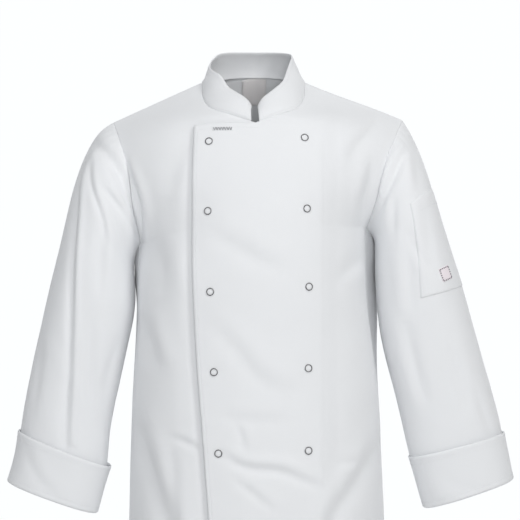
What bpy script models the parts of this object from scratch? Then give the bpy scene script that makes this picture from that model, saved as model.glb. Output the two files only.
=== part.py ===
"""Double-breasted chef jacket with long sleeves, in the hollow shape it has when worn, with no wearer.

Metres, +Z up, the front faces -Y and the wearer's left is +X. The origin is where the jacket sits on
the neck and shoulders: the middle of the shoulder seams' neck ends. Every cloth piece is a wall
worked out from sections of the cut, and the wearer's left front laps over the right.
"""
import bpy
import numpy as np
from mathutils import Matrix

# ---- driving sizes, metres ----
CLOTH = 0.0015          # wall of every cloth piece
SEAM_END = 0.0003       # gap where two walls meet edge to edge, measured on their inner faces
SEAM_TURN = 0.0012      # gap between middle surfaces where two walls meet at an angle
UNDERARM = 0.0016       # how far the sleeve also stands off the body at the underarm
COLLAR_GAP = 0.0018     # gap between the collar's lower edge and the neckline's middle surface
LAP = 0.0034            # how far the over-front stands in front of the under-front
UNDER_EDGE = 0.105      # hidden free edge of the under-front, from the centre line
UNDER_EASE = 0.0012     # how much further in the under-front lies where it is covered
LAP_FADE = 0.028        # width over which the over-front comes back to the body beyond it
COLLAR_SLIT = (0.0085, 0.0065)   # half gaps between the collar's ends: wearer's right, wearer's left


def table(columns, *rows):
    """A table with named columns, a row for each section."""
    return {name: np.array(column, float) for name, column in zip(columns.split(), zip(*rows))}


# Half sections of the front, hem to shoulder. Each runs from its inner end (centre line, then
# neckline) to its outer end (side seam, then armhole). l and r are the wearer's left (+X) and right.
#    inner end                      outer end                             leaves        arrives             pulls
FRONT = table(
    "il     ir     iy     iz      ol     or_    oy     olz    orz     dy    dz    ex    exr   ey    ez    ip   op",
    (0.000, 0.000, -.148, -.785, .2125, .2101,  .000, -.785, -.785,     0,     0,     0,     0,     1,     0,   .48,   .36),
    (0.000, 0.000, -.147, -.700, .2096, .2077,  .000, -.700, -.700,     0,     0,     0,     0,     1,     0,   .48,   .36),
    (0.000, 0.000, -.143, -.600, .2053, .2058,  .000, -.600, -.600,     0,     0,     0,     0,     1,     0,   .48,   .36),
    (0.000, 0.000, -.138, -.500, .1995, .2016, -.003, -.500, -.500,     0,     0,     0,     0,     1,     0,   .48,   .36),
    (0.000, 0.000, -.135, -.400, .1862, .1960, -.012, -.400, -.400,     0,     0,   0.1,   0.1,     1,     0,   .48,   .36),
    (0.000, 0.000, -.134, -.310, .1785, .1928, -.018, -.318, -.318,     0,     0,   0.2,   0.2,     1,     0,   .48,   .36),
    (0.000, 0.000, -.130, -.235, .1815, .1900, -.012, -.241, -.266,     0,     0,   .35,   .35,   .94,     0,   .46,   .36),
    (0.000, 0.000, -.120, -.175, .1975, .2005, -.045, -.190, -.208,     0,     0,   .70,   .70,   .70,  -.12,   .42,   .32),
    (0.000, 0.000, -.106, -.122, .2070, .2065, -.049, -.150, -.160,     0,     0,   .74,   .74,   .62,  -.25,   .40,   .32),
    (0.000, 0.000, -.088, -.0735, .2160, .2135, -.041, -.118, -.125,     0,     0,   .80,   .80,   .50,  -.35,   .38,   .32),
    (0.038, 0.042, -.080, -.0600, .2245, .2205, -.030, -.1005, -.105,   .05,  -.08,   .84,   .84,   .40,  -.40,   .36,   .32),
    (0.068, 0.075, -.058, -.0470, .2315, .2265, -.015, -.0845, -.0885,   .10,  -.18,   .87,   .87,   .30,  -.44,   .34,   .32),
    (0.079, 0.087, -.029, -.0275, .2375, .2315, -.001, -.0730, -.077,   .10,  -.36,   .88,   .88,   .20,  -.43,   .33,   .33),
    (0.081, 0.089,  .000,-.0015, .2420, .2355,  .012, -.0630, -.0665,   .05,  -.45,   .89,   .89,   .10,  -.40,   .33,   .33),
)
FRONT_PIT, FRONT_ARMPIT = 9, 6          # rows at the neck pit and at the armpit

# Half sections of the back, hem to shoulder, in the same columns.
BACK = table(
    "il     ir     iy     iz      ol     or_    oy     olz    orz     dy    dz    ex    exr   ey    ez    ip   op",
    (0.000, 0.000,  .148, -.785, .2125, .2101,  .000, -.785, -.785,     0,     0,     0,     0,    -1,     0,   .48,   .36),
    (0.000, 0.000,  .146, -.700, .2096, .2077,  .000, -.700, -.700,     0,     0,     0,     0,    -1,     0,   .48,   .36),
    (0.000, 0.000,  .139, -.600, .2053, .2058,  .000, -.600, -.600,     0,     0,     0,     0,    -1,     0,   .48,   .36),
    (0.000, 0.000,  .127, -.500, .1995, .2016, -.003, -.500, -.500,     0,     0,  -.15,  -.05,    -1,     0,   .56,   .44),
    (0.000, 0.000,  .120, -.400, .1862, .1960, -.012, -.400, -.400,     0,     0,  -.44,  -.04,    -1,     0,   .70,   .56),
    (0.000, 0.000,  .124, -.310, .1785, .1928, -.018, -.318, -.318,     0,     0,  -.44,  -.17,    -1,     0,   .83,   .64),
    (0.000, 0.000,  .131, -.235, .1815, .1900, -.012, -.241, -.266,     0,     0,  -.30,  -.12,  -.95,    .1,   .54,   .36),
    (0.000, 0.000,  .133, -.165, .1890, .1965,  .045, -.212, -.232,     0,     0,   .35,   .35,  -.88,  -.10,   .44,   .32),
    (0.000, 0.000,  .125, -.095, .1970, .2035,  .073, -.166, -.182,     0,     0,   .75,   .75,  -.62,  -.25,   .42,   .32),
    (0.000, 0.000,  .105, -.035, .2070, .2115,  .071, -.122, -.132,     0,  -.05,   .85,   .85,  -.35,  -.42,   .38,   .32),
    (0.000, 0.000, .0765,  .016, .2185, .2195,  .055, -.092, -.099,     0,  -.16,   .86,   .86,  -.22,  -.46,   .36,   .32),
    (0.045, 0.049, .0655, .0125, .2290, .2265,  .038, -.0765, -.082,   .05,  -.30,   .88,   .88,  -.16,  -.45,   .34,   .32),
    (0.070, 0.077, .0370, .0040, .2365, .2320,  .024, -.068, -.0725,   .05,  -.41,   .89,   .89,  -.08,  -.41,   .33,   .33),
    (0.081, 0.089, .0000,-.0015, .2420, .2355,  .012, -.0630, -.0665,   .05,  -.45,   .89,   .89,   .10,  -.40,   .33,   .33),
)
BACK_NAPE, BACK_ARMPIT = 10, 6          # rows at the nape and at the armpit

# Largest folds of the fronts: a trough's line through three points in the front view, its half width
# and depth, and how much of the depth stands up as a ridge beside it (minus: on the line's right).
FRONT_FOLDS = table(
    "x0     z0     x1     z1     x2     z2     width  depth  ridge",
    (-.186, -.262, -.150, -.290, -.138, -.365, .020,  .0045,  .3),
    (-.185, -.390, -.174, -.430, -.158, -.470, .015,  .0035,  .4),
    (-.192, -.556, -.170, -.630, -.140, -.730, .016,  .0065, -.7),
    (-.134, -.610, -.131, -.665, -.122, -.740, .017,  .0040,  .3),
    (-.068, -.395, -.018, -.458,  .058, -.505, .016,  .0050,  .6),
    (-.055, -.595,  .010, -.632,  .110, -.655, .011,  .0045,  .6),
    (0.202, -.585,  .158, -.655,  .090, -.760, .016,  .0070,  .7),
    (0.203, -.060,  .176, -.095,  .150, -.150, .014,  .0040,  .4),
    (0.188, -.130,  .178, -.180,  .176, -.235, .011,  .0045,  .3),
    (-.112, -.085, -.119, -.120, -.145, -.190, .018,  .0030,  .2),
)
# The same for the back, seen from the front through the body.
BACK_FOLDS = table(
    "x0     z0     x1     z1     x2     z2     width  depth  ridge",
    (-.180, -.250, -.130, -.300, -.070, -.330, .018,  .0050,  .5),
    (0.180, -.240,  .135, -.300,  .085, -.350, .018,  .0050,  .5),
    (-.150, -.380, -.060, -.425,  .040, -.430, .018,  .0055, -.5),
    (0.150, -.420,  .080, -.470, -.010, -.480, .016,  .0045,  .5),
    (-.120, -.560, -.105, -.650, -.110, -.785, .020,  .0060,  .4),
    (0.110, -.540,  .100, -.650,  .085, -.785, .020,  .0060, -.4),
)
# Sleeve folds, in shares of a turn (0 outer side, 0.25 front, 0.5 inner side) and of the length.
SLEEVE_FOLDS_R = table(
    "t0     s0    t1     s1    t2     s2    width  depth  ridge",
    (0.110, .150, .105, .420, .115, .840,  .014,  .0050, -.6),
    (0.330, .130, .370, .230, .420, .330,  .014,  .0050,  .5),
    (0.250, .420, .290, .560, .270, .760,  .015,  .0035,  .4),
    (0.620, .200, .700, .330, .800, .400,  .016,  .0050,  .5),
    (0.560, .470, .680, .540, .800, .560,  .014,  .0045,  .5),
    (0.870, .300, .880, .550, .860, .800,  .016,  .0040, -.5),
)
SLEEVE_FOLDS_L = table(
    "t0     s0    t1     s1    t2     s2    width  depth  ridge",
    (0.280, .200, .260, .330, .200, .430,  .014,  .0045,  .5),
    (0.330, .330, .300, .520, .230, .700,  .015,  .0045, -.5),
    (0.400, .160, .360, .280, .350, .420,  .013,  .0040,  .4),
    (0.640, .220, .720, .340, .820, .390,  .016,  .0050,  .5),
    (0.560, .500, .680, .560, .820, .570,  .014,  .0045,  .5),
    (0.880, .320, .890, .560, .870, .780,  .016,  .0040,  .5),
)
AROUND, ALONG = 0.42, 0.66      # typical girth and length of a sleeve, to give its folds their sizes

# Free edge of the over-front, on the wearer's right of the centre line.
FLAP = table("z x", (-.785, .0680), (-.690, .0747), (-.630, .0794), (-.585, .0826), (-.510, .0890),
             (-.420, .0952), (-.300, .1000), (-.160, .1003), (-.075, .0992))

# Sleeve rings from the armhole down: outer and inner ends of each ring in the front view,
# how far it reaches forward and back, and how square it is (2 is an ellipse).
SLEEVE_R = table(
    "ox      oz      ix      iz      front   back   square",
    (-.2355, -.0665, -.1900, -.2660, -.050,  .075,  2.0),
    (-.2575, -.0830, -.1932, -.2705, -.060,  .080,  2.1),
    (-.2770, -.1120, -.1960, -.2760, -.066,  .081,  2.2),
    (-.2938, -.1530, -.1985, -.2840, -.070,  .080,  2.2),
    (-.3068, -.2040, -.2012, -.2960, -.072,  .078,  2.2),
    (-.3215, -.2680, -.2014, -.3200, -.073,  .075,  2.2),
    (-.3376, -.3340, -.1996, -.3620, -.071,  .070,  2.2),
    (-.3528, -.3990, -.2112, -.4300, -.067,  .063,  2.2),
    (-.3678, -.4700, -.2284, -.5080, -.062,  .055,  2.2),
    (-.3820, -.5450, -.2420, -.5850, -.058,  .048,  2.2),
    (-.3905, -.5980, -.2480, -.6420, -.056,  .044,  2.2),
    (-.4036, -.6482, -.2620, -.7007, -.0550, .0420, 2.3),
)
SLEEVE_L = table(
    "ox      oz      ix      iz      front   back   square",
    (0.2420, -.0630, 0.1815, -.2410, -.050,  .075,  2.0),
    (0.2550, -.0850, 0.1860, -.2455, -.060,  .080,  2.1),
    (0.2690, -.1150, 0.1910, -.2515, -.066,  .081,  2.2),
    (0.2834, -.1560, 0.1955, -.2600, -.070,  .080,  2.2),
    (0.2980, -.2070, 0.1970, -.2750, -.072,  .078,  2.2),
    (0.3168, -.2680, 0.1970, -.3040, -.073,  .075,  2.2),
    (0.3382, -.3340, 0.2000, -.3640, -.071,  .070,  2.2),
    (0.3562, -.3990, 0.2093, -.4340, -.067,  .063,  2.2),
    (0.3766, -.4730, 0.2283, -.5085, -.062,  .055,  2.2),
    (0.3974, -.5480, 0.2460, -.5830, -.058,  .048,  2.2),
    (0.4080, -.6000, 0.2605, -.6400, -.056,  .044,  2.2),
    (0.4190, -.6456, 0.2770, -.6926, -.0550, .0420, 2.3),
)

# Turned-back cuffs: ring at the turned edge and ring at the free top edge.
CUFF_R = table(
    "ox      oz      ix      iz      front   back   square",
    (-.4080, -.6532, -.2605, -.7062, -.0585, .0455, 2.3),
    (-.3965, -.6140, -.2504, -.6690, -.0600, .0475, 2.3),
    (-.3902, -.5735, -.2393, -.6335, -.0625, .0515, 2.3),
)
CUFF_L = table(
    "ox      oz      ix      iz      front   back   square",
    (0.4230, -.6490, 0.2750, -.6978, -.0585, .0455, 2.3),
    (0.4150, -.6132, 0.2638, -.6590, -.0600, .0475, 2.3),
    (0.4076, -.5765, 0.2518, -.6175, -.0625, .0515, 2.3),
)

# Top edge of the collar, front end to centre back, each half. at is the share of the half's length.
COLLAR_L = table(
    "at    x      y      z",
    (0.00, .0030, -.0715, -.0460),
    (0.08, .0105, -.0690, -.0335),
    (0.18, .0210, -.0640, -.0240),
    (0.30, .0335, -.0560, -.0135),
    (0.42, .0445, -.0440, -.0020),
    (0.52, .0500, -.0300,  .0130),
    (0.62, .0562, -.0130,  .0310),
    (0.72, .0588,  .0080,  .0430),
    (0.82, .0530,  .0330,  .0500),
    (0.91, .0320,  .0530,  .0535),
    (1.00, .0000,  .0605,  .0545),
)
COLLAR_R = table(
    "at    x      y      z",
    (0.00, .0075, -.0705, -.0460),
    (0.08, .0135, -.0685, -.0360),
    (0.18, .0255, -.0630, -.0265),
    (0.30, .0385, -.0545, -.0180),
    (0.40, .0485, -.0475, -.0080),
    (0.47, .0560, -.0400,  .0045),
    (0.54, .0645, -.0290,  .0120),
    (0.62, .0745, -.0100,  .0205),
    (0.72, .0735,  .0120,  .0360),
    (0.82, .0608,  .0340,  .0492),
    (0.91, .0380,  .0530,  .0540),
    (1.00, .0000,  .0605,  .0545),
)
COLLAR_BOW = 0.004       # outward bow of the collar band half-way up

POCKET = table("turn down", (.225, .135), (-.030, .158), (.2575, .4025), (-.030, .394))   # top front, top back, bottom front, bottom back
TAG_AT, TAG_SIDE = (.1475, .3475), 0.0215   # sleeve tag: turn and share of length of its middle, and its side
TAG_TILT = (.11, -.136)          # how its share changes with its turn, and its turn with its share
LABEL = {"x": (-.0235, .0165), "drop": .046}           # neck label: its sides, and how far it hangs below the nape
TAB = {"x": (-.0700, -.0360), "z": -.0835, "high": .0055}  # strip on the flap's top corner
STUD_ROWS_R = table("x z", (.0750, -.1040), (.0760, -.2160), (.0720, -.3440), (.0660, -.4710), (.0590, -.5990))
STUD_ROWS_L = table("x z", (.0780, -.0980), (.0810, -.2120), (.0840, -.3360), (.0830, -.4650), (.0830, -.5950))
STUD_RING, STUD_WIRE = 0.0056, 0.0008   # ring radius to the middle of the metal, and half its thickness


def natural_spline(knots, values, where):
    """Natural cubic spline of values (rows) at the knots, read at where."""
    knots, values, where = np.asarray(knots, float), np.asarray(values, float), np.asarray(where, float)
    flat = values.reshape(len(knots), -1)
    n = len(knots)
    if n == 2:
        share = ((where - knots[0]) / (knots[1] - knots[0])).reshape(-1, 1)
        return (flat[0] + share * (flat[1] - flat[0])).reshape(where.shape + values.shape[1:])
    gap = np.diff(knots)
    system, right = np.zeros((n, n)), np.zeros((n, flat.shape[1]))
    system[0, 0] = system[-1, -1] = 1.0
    for i in range(1, n - 1):
        system[i, i - 1:i + 2] = gap[i - 1], 2 * (gap[i - 1] + gap[i]), gap[i]
        right[i] = 6 * ((flat[i + 1] - flat[i]) / gap[i] - (flat[i] - flat[i - 1]) / gap[i - 1])
    bend = np.linalg.solve(system, right)
    q = where.reshape(-1)
    i = np.clip(np.searchsorted(knots, q) - 1, 0, n - 2)
    h = gap[i][:, None]
    a, b = (knots[i + 1] - q)[:, None], (q - knots[i])[:, None]
    out = (bend[i] * a ** 3 + bend[i + 1] * b ** 3) / (6 * h) \
        + (flat[i] / h - bend[i] * h / 6) * a + (flat[i + 1] / h - bend[i + 1] * h / 6) * b
    return out.reshape(where.shape + values.shape[1:])


def smooth(value, low, high):
    share = np.clip((value - low) / (high - low), 0, 1)
    return share * share * (3 - 2 * share)


def fold_field(u, w, folds, least=0.0):
    """How far the cloth stands out (plus) or in (minus) at (u, w): the sum of the folds' troughs and ridges."""
    out = np.zeros(np.shape(u))
    t = np.linspace(0, 1, 25)
    names = list(folds)
    for row in zip(*folds.values()):
        a0, b0, a1, b1, a2, b2, width, depth, ridge = row
        depth, width = depth * min(1, width / max(least, 1e-9)), max(width, least)
        line = np.stack([a0 * (1 - t) * (1 - 2 * t) + a1 * 4 * t * (1 - t) + a2 * t * (2 * t - 1),
                         b0 * (1 - t) * (1 - 2 * t) + b1 * 4 * t * (1 - t) + b2 * t * (2 * t - 1)], 1)
        along = np.gradient(line, axis=0)
        along /= np.linalg.norm(along, axis=1, keepdims=True)
        du, dw = u[..., None] - line[:, 0], w[..., None] - line[:, 1]
        near = np.argmin(du * du + dw * dw, axis=-1)
        du, dw = (np.take_along_axis(d, near[..., None], -1)[..., 0] for d in (du, dw))
        aside = du * along[near, 1] - dw * along[near, 0]
        past = np.abs(du * along[near, 0] + dw * along[near, 1])
        taper = np.sin(np.pi * np.clip(t[near] * 0.94 + 0.03, 0, 1)) ** 0.7 * np.exp(-(past / width) ** 2)
        side = 1.0 if ridge >= 0 else -1.0
        trough = np.exp(-(aside / width) ** 2)
        crest = abs(ridge) * np.exp(-((aside - side * 1.9 * width) / (1.15 * width)) ** 2)
        out += depth * taper * (crest - trough)
    return out


def normals_of(grid, closed=False):
    """Unit normals of a grid of points (rows x columns)."""
    if closed:
        wide = np.concatenate([grid[:, -1:], grid, grid[:, :1]], 1)
        across = np.gradient(wide, axis=1)[:, 1:-1]
    else:
        across = np.gradient(grid, axis=1)
    normal = np.cross(across, np.gradient(grid, axis=0))
    return normal / np.maximum(np.linalg.norm(normal, axis=-1, keepdims=True), 1e-12)


class Half:
    """One half of a front or back: a surface of (v, a), v along the length and a from centre to edge."""

    def __init__(self, rows, side, inner_corner, outer_corner):
        self.side = side
        inner = np.stack([side * (rows["il"] if side > 0 else rows["ir"]), rows["iy"], rows["iz"]], 1)
        outer = np.stack([side * (rows["ol"] if side > 0 else rows["or_"]), rows["oy"],
                          rows["olz"] if side > 0 else rows["orz"]], 1)
        leave = np.stack([side * np.ones(len(inner)), rows["dy"], rows["dz"]], 1)
        arrive = np.stack([side * (rows["ex"] if side > 0 else rows["exr"]), rows["ey"], rows["ez"]], 1)
        leave /= np.linalg.norm(leave, axis=1, keepdims=True)
        arrive /= np.linalg.norm(arrive, axis=1, keepdims=True)
        chord = np.linalg.norm(outer - inner, axis=1, keepdims=True)
        self.ends = inner, outer
        self.handles = inner + leave * chord * rows["ip"][:, None], outer - arrive * chord * rows["op"][:, None]
        self.corners = inner_corner, outer_corner
        step = (np.linalg.norm(np.diff(inner, axis=0), axis=1) + np.linalg.norm(np.diff(outer, axis=0), axis=1)) / 2
        self.knots = np.concatenate([[0], np.cumsum(step)])
        self.length = self.knots[-1]

    def _end(self, which, v):
        """An end's path: smooth on each side of its corner row."""
        path, corner = self.ends[which], self.corners[which]
        low = natural_spline(self.knots[:corner + 1], path[:corner + 1], v)
        high = natural_spline(self.knots[corner:], path[corner:], v)
        return np.where((v <= self.knots[corner])[..., None], low, high)

    def at(self, v, a):
        v, a = np.broadcast_arrays(np.asarray(v, float), np.asarray(a, float))
        p0, p3 = self._end(0, v), self._end(1, v)
        p1, p2 = (natural_spline(self.knots, h, v) for h in self.handles)
        a = a[..., None]
        return (1 - a) ** 3 * p0 + 3 * a * (1 - a) ** 2 * p1 + 3 * a * a * (1 - a) * p2 + a ** 3 * p3

    def even(self, v, shares):
        """Points on row v at even shares of its length."""
        dense = np.linspace(0, 1, 81)
        run = self.at(v, dense)
        length = np.concatenate([[0], np.cumsum(np.linalg.norm(np.diff(run, axis=0), axis=1))])
        return self.at(v, np.interp(np.asarray(shares) * length[-1], length, dense))

    def at_x(self, v, x):
        """Points on row v whose distance from the centre plane is x."""
        dense = np.linspace(0, 0.9, 121)
        run = self.at(v, dense)
        return self.at(v, np.interp(x, self.side * run[:, 0], dense))

    def v_at(self, z, a=0.0):
        dense = np.linspace(0, self.length if a > 0.5 else self.knots[self.corners[0]], 400)
        return float(np.interp(z, self.at(dense, a)[:, 2], dense))


FRONT_L, FRONT_R = (Half(FRONT, s, FRONT_PIT, FRONT_ARMPIT) for s in (1, -1))
BACK_L, BACK_R = (Half(BACK, s, BACK_NAPE, BACK_ARMPIT) for s in (1, -1))


def rows_of(half, corner, armpit, side_seam, between, above):
    """Row positions: even heights up the side seam, then even to the corner row, then even to the shoulder."""
    z = np.linspace(half.ends[1][0, 2], half.ends[1][armpit, 2], side_seam + 1)
    low = [half.v_at(height, 1.0) for height in z[:-1]]
    mid = np.linspace(half.knots[armpit], half.knots[corner], between + 1)
    high = np.linspace(half.knots[corner], half.length, above + 1)
    return np.concatenate([low, mid, high[1:]])


def lap_out(points):
    """The over-front stands LAP in front of the under-front, and comes back to the body beyond its hidden edge."""
    x, z = points[..., 0], points[..., 2]
    across = 1 - smooth(x, UNDER_EDGE, UNDER_EDGE + LAP_FADE)
    up = 1 - smooth(z, FRONT["iz"][FRONT_PIT] + 0.004, -0.004)
    moved = points.copy()
    moved[..., 1] -= LAP * across * up
    return moved


def under_in(points):
    """The under-front lies UNDER_EASE further in where the over-front covers it."""
    moved = points.copy()
    moved[..., 1] += UNDER_EASE * smooth(points[..., 0], -.130, -.104) * (1 - smooth(points[..., 2], -.0735, -.03))
    return moved


def flap_x(z):
    return natural_spline(FLAP["z"], FLAP["x"], z)


def ring_points(ring, turn):
    """A ring of a sleeve or cuff at shares of a turn: 0 outer side, 0.25 front, 0.5 inner side, 0.75 back."""
    ox, oz, ix, iz, front, back, square = ring
    angle = 2 * np.pi * np.asarray(turn)
    c, s = np.cos(angle), np.sin(angle)
    across = np.sign(c) * np.abs(c) ** (2 / square)
    deep = np.sign(s) * np.abs(s) ** (2 / square)
    middle, half = np.array([(ox + ix) / 2, (front + back) / 2, (oz + iz) / 2]), (back - front) / 2
    arm = np.array([(ox - ix) / 2, 0, (oz - iz) / 2])
    points = middle + across[..., None] * arm
    points[..., 1] -= deep * half
    return points


def armhole(front, back, turn):
    """The armhole's edge at shares of a turn: down the front's edge, then up the back's."""
    turn = np.asarray(turn)
    points = np.zeros(turn.shape + (3,))
    for half, corner, ahead in ((front, FRONT_ARMPIT, True), (back, BACK_ARMPIT, False)):
        v = np.linspace(half.length, half.knots[corner], 121)
        run = half.at(v, 1.0)
        length = np.concatenate([[0], np.cumsum(np.linalg.norm(np.diff(run, axis=0), axis=1))])
        share = turn * 2 if ahead else 2 - turn * 2
        use = (turn <= 0.5) if ahead else (turn > 0.5)
        at = half.at(np.interp(share * length[-1], length, v), 1.0)
        points[use] = at[use]
    return points


class Tube:
    """A sleeve or cuff: rings joined along each share of a turn. A sleeve's first rings take the armhole's shape."""

    def __init__(self, rings, front=None, back=None):
        self.rows = np.stack(list(rings.values()), 1)
        self.armhole = front, back
        step = np.linalg.norm(np.diff(self.rings(np.arange(36) / 36), axis=0), axis=2).mean(1)
        self.knots = np.concatenate([[0], np.cumsum(step)])
        self.length = self.knots[-1]

    def rings(self, turn):
        turn = np.asarray(turn) % 1.0
        made = np.stack([ring_points(row, turn) for row in self.rows])
        if self.armhole[0] is not None:
            off = armhole(*self.armhole, turn) - made[0]
            for k, share in enumerate((1.0, .62, .32, .12)):
                made[k] += off * share
        return made

    def at(self, turn, share):
        """Points at every share of the length (rows) and of a turn (columns)."""
        return natural_spline(self.knots, self.rings(turn), np.asarray(share) * self.length)


def sleeve_start(tube, turn, side):
    """The sleeve's first row: moved along the cloth by the seam's gap, and out from the body at the underarm."""
    start, ahead = tube.at(turn, np.array([0.0, 0.03]))
    along = ahead - start
    along /= np.linalg.norm(along, axis=-1, keepdims=True)
    low = np.clip(1 - np.abs(turn - 0.5) / 0.32, 0, 1)
    out = np.zeros_like(start)
    out[:, 0] = side * UNDERARM * np.minimum(1, 2 * low)
    return start + along * SEAM_TURN + out


def sleeve_grid(tube, folds, turn, share, side, least=0.0):
    """A sleeve's points with its folds, rows down its length."""
    grid = tube.at(turn, share)
    if share[0] == 0:
        grid[0] = sleeve_start(tube, turn, side)
    normal = normals_of(grid, closed=True)
    if ((grid - grid.mean(1, keepdims=True)) * normal).sum() < 0:
        normal = -normal
    s, t = np.meshgrid(share, turn, indexing="ij")
    # Folds are measured at three copies of the turn, so that one may cross the outer side.
    out = sum(fold_field((t + whole) * AROUND, s * ALONG, sized(folds), least) for whole in (-1, 0, 1))
    return grid + normal * (out * smooth(s, 0.0, 0.10) * (1 - smooth(s, 0.94, 1.0)))[..., None]


def sized(folds):
    """Sleeve folds with their shares turned into metres."""
    made = dict(folds)
    for k in "012":
        made["t" + k], made["s" + k] = folds["t" + k] * AROUND, folds["s" + k] * ALONG
    return made


def body_out(x, face):
    """The way out of the body at x: face is -1 on the front and +1 on the back."""
    angle = np.clip(np.asarray(x) / 0.215, -1, 1) * np.radians(62)
    return np.stack([np.sin(angle), face * np.cos(angle), np.zeros_like(angle)], -1)


def fold_body(grid, folds, face, least=0.0, seams=None):
    """A front's or the back's points with its folds. seams is how much of them is kept, for the sewn edges."""
    out = fold_field(grid[..., 0], grid[..., 2], folds, least)
    if seams is not None:
        out = out * seams
    return grid + body_out(grid[..., 0], face) * out[..., None]


def kept_at_seams(rows, columns, half):
    """Folds fade out towards the side seam, armhole and shoulder seam of a block of rows v and shares a."""
    return (1 - smooth(rows / half.length, 0.90, 1.0))[:, None] * (1 - smooth(columns, 0.84, 1.0))[None, :]


def over_spot(x, z):
    """A point of the over-front's middle surface at x and z, with its lap and its folds."""
    half = FRONT_L if x >= 0 else FRONT_R
    v = np.linspace(half.v_at(z - 0.02), min(half.v_at(min(z + 0.035, -.0736)), half.knots[FRONT_PIT]), 24)
    run = np.stack([half.at_x(q, abs(x)) for q in v])
    point = np.array([np.interp(z, run[:, 2], run[:, k]) for k in range(3)])
    return fold_body(lap_out(point), FRONT_FOLDS, -1)


def over_frame(x, z):
    """That point, and the unit vectors across, up and out there."""
    d = 0.004
    middle = over_spot(x, z)
    across = over_spot(x + d, z) - over_spot(x - d, z)
    up = over_spot(x, z + d) - over_spot(x, z - d)
    across /= np.linalg.norm(across)
    out = np.cross(across, up)
    out /= np.linalg.norm(out)
    return middle, across, np.cross(out, across), out


def neck_edge(front, back, pit_gap, lapped):
    """The neckline of one half, from the slit at the pit over the shoulder seam to the nape, and its length so far."""
    v = np.linspace(front.knots[FRONT_PIT], front.length, 60)
    fore = front.at(v, 0.0)
    if lapped:
        fore = lap_out(fore)
    v = np.linspace(back.length, back.knots[BACK_NAPE], 60)
    run = np.concatenate([fore, back.at(v, 0.0)[1:]])
    length = np.concatenate([[0], np.cumsum(np.linalg.norm(np.diff(run, axis=0), axis=1))])
    return run, length - pit_gap


def collar_half(front, back, top, pit_gap, lapped, shares, heights):
    """Rows from neckline to top edge of one half of the collar, columns from the front end to the centre back."""
    run, length = neck_edge(front, back, pit_gap, lapped)
    at = np.asarray(shares) * length[-1]
    base = np.stack([np.interp(at, length, run[:, k]) for k in range(3)], 1)
    edge = natural_spline(top["at"], np.stack([front.side * top["x"], top["y"], top["z"]], 1), shares)
    out = (base + edge) / 2 - np.array([0, -.004, 0])
    out[:, 2] = 0
    out /= np.maximum(np.linalg.norm(out, axis=1, keepdims=True), 1e-9)
    rise = edge - base
    base = base + rise / np.linalg.norm(rise, axis=1, keepdims=True) * COLLAR_GAP
    h = np.asarray(heights)[:, None, None]
    return base + (edge - base) * h + out * (4 * COLLAR_BOW * h * (1 - h))


# ---- meshes ----
TURNS = 18               # columns round a sleeve


def material(name, colour, roughness, metallic=0.0):
    made = bpy.data.materials.new(name)
    made.use_nodes = True
    shader = made.node_tree.nodes["Principled BSDF"]
    shader.inputs["Base Color"].default_value = (*colour, 1)
    shader.inputs["Roughness"].default_value = roughness
    shader.inputs["Metallic"].default_value = metallic
    return made


WHITE = (0.80, 0.81, 0.83)


def cloth_object(name, grids, colour=WHITE, wall=CLOTH, closed=False, angle=60):
    """A cloth piece from grids of points (rows x columns) that share edges, given its wall by Solidify."""
    points, faces, index = [], [], {}

    def corner(p):
        key = tuple(np.round(p * 1e5).astype(int))
        if key not in index:
            index[key] = len(points)
            points.append(tuple(p))
        return index[key]

    for grid in grids:
        rows, columns = grid.shape[:2]
        ids = [[corner(grid[r, c]) for c in range(columns)] for r in range(rows)]
        for r in range(rows - 1):
            for c in range(columns if closed else columns - 1):
                d = (c + 1) % columns
                face = [ids[r][c], ids[r][d], ids[r + 1][d], ids[r + 1][c]]
                face = [v for i, v in enumerate(face) if v not in face[:i]]
                if len(face) > 2:
                    faces.append(face)
    mesh = bpy.data.meshes.new(name)
    mesh.from_pydata(points, [], faces)
    mesh.update()
    mesh.shade_smooth()
    mesh.set_sharp_from_angle(angle=np.radians(angle))
    made = bpy.data.objects.new(name, mesh)
    made.data.materials.append(material(name, colour, 0.85))
    bpy.context.scene.collection.objects.link(made)
    wall_of = made.modifiers.new("wall", "SOLIDIFY")
    wall_of.thickness, wall_of.offset, wall_of.use_rim = wall, 0.0, True
    wall_of.use_even_offset = False
    made.parent = jacket
    return made


for old in list(bpy.data.objects):
    bpy.data.objects.remove(old)
jacket = bpy.data.objects.new("jacket", None)
bpy.context.scene.collection.objects.link(jacket)


# ---- fronts ----
SIDE_SEAM, TO_PIT, ABOVE, ACROSS, BEYOND = 14, 5, 6, 10, 5
BELOW = SIDE_SEAM + TO_PIT
edge_in = SEAM_END                      # each panel stops this far short of its side seam


def trimmed(grid, ends):
    """Draws the named end of every row in by half a seam gap: the side seam, and the top row for the shoulder seam."""
    grid = grid.copy()
    last = grid[:, -1] - grid[:, -2]
    grid[:, -1] -= last / np.linalg.norm(last, axis=1, keepdims=True) * edge_in
    top = grid[-1] - grid[-2]
    grid[-1] -= top / np.maximum(np.linalg.norm(top, axis=1, keepdims=True), 1e-9) * ends
    return grid


def main_block(half, rows, across):
    return np.stack([half.even(v, np.linspace(0, 1, across + 1)) for v in rows])


def front_rows_of(half):
    return rows_of(half, FRONT_PIT, FRONT_ARMPIT, SIDE_SEAM, TO_PIT, ABOVE)


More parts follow.
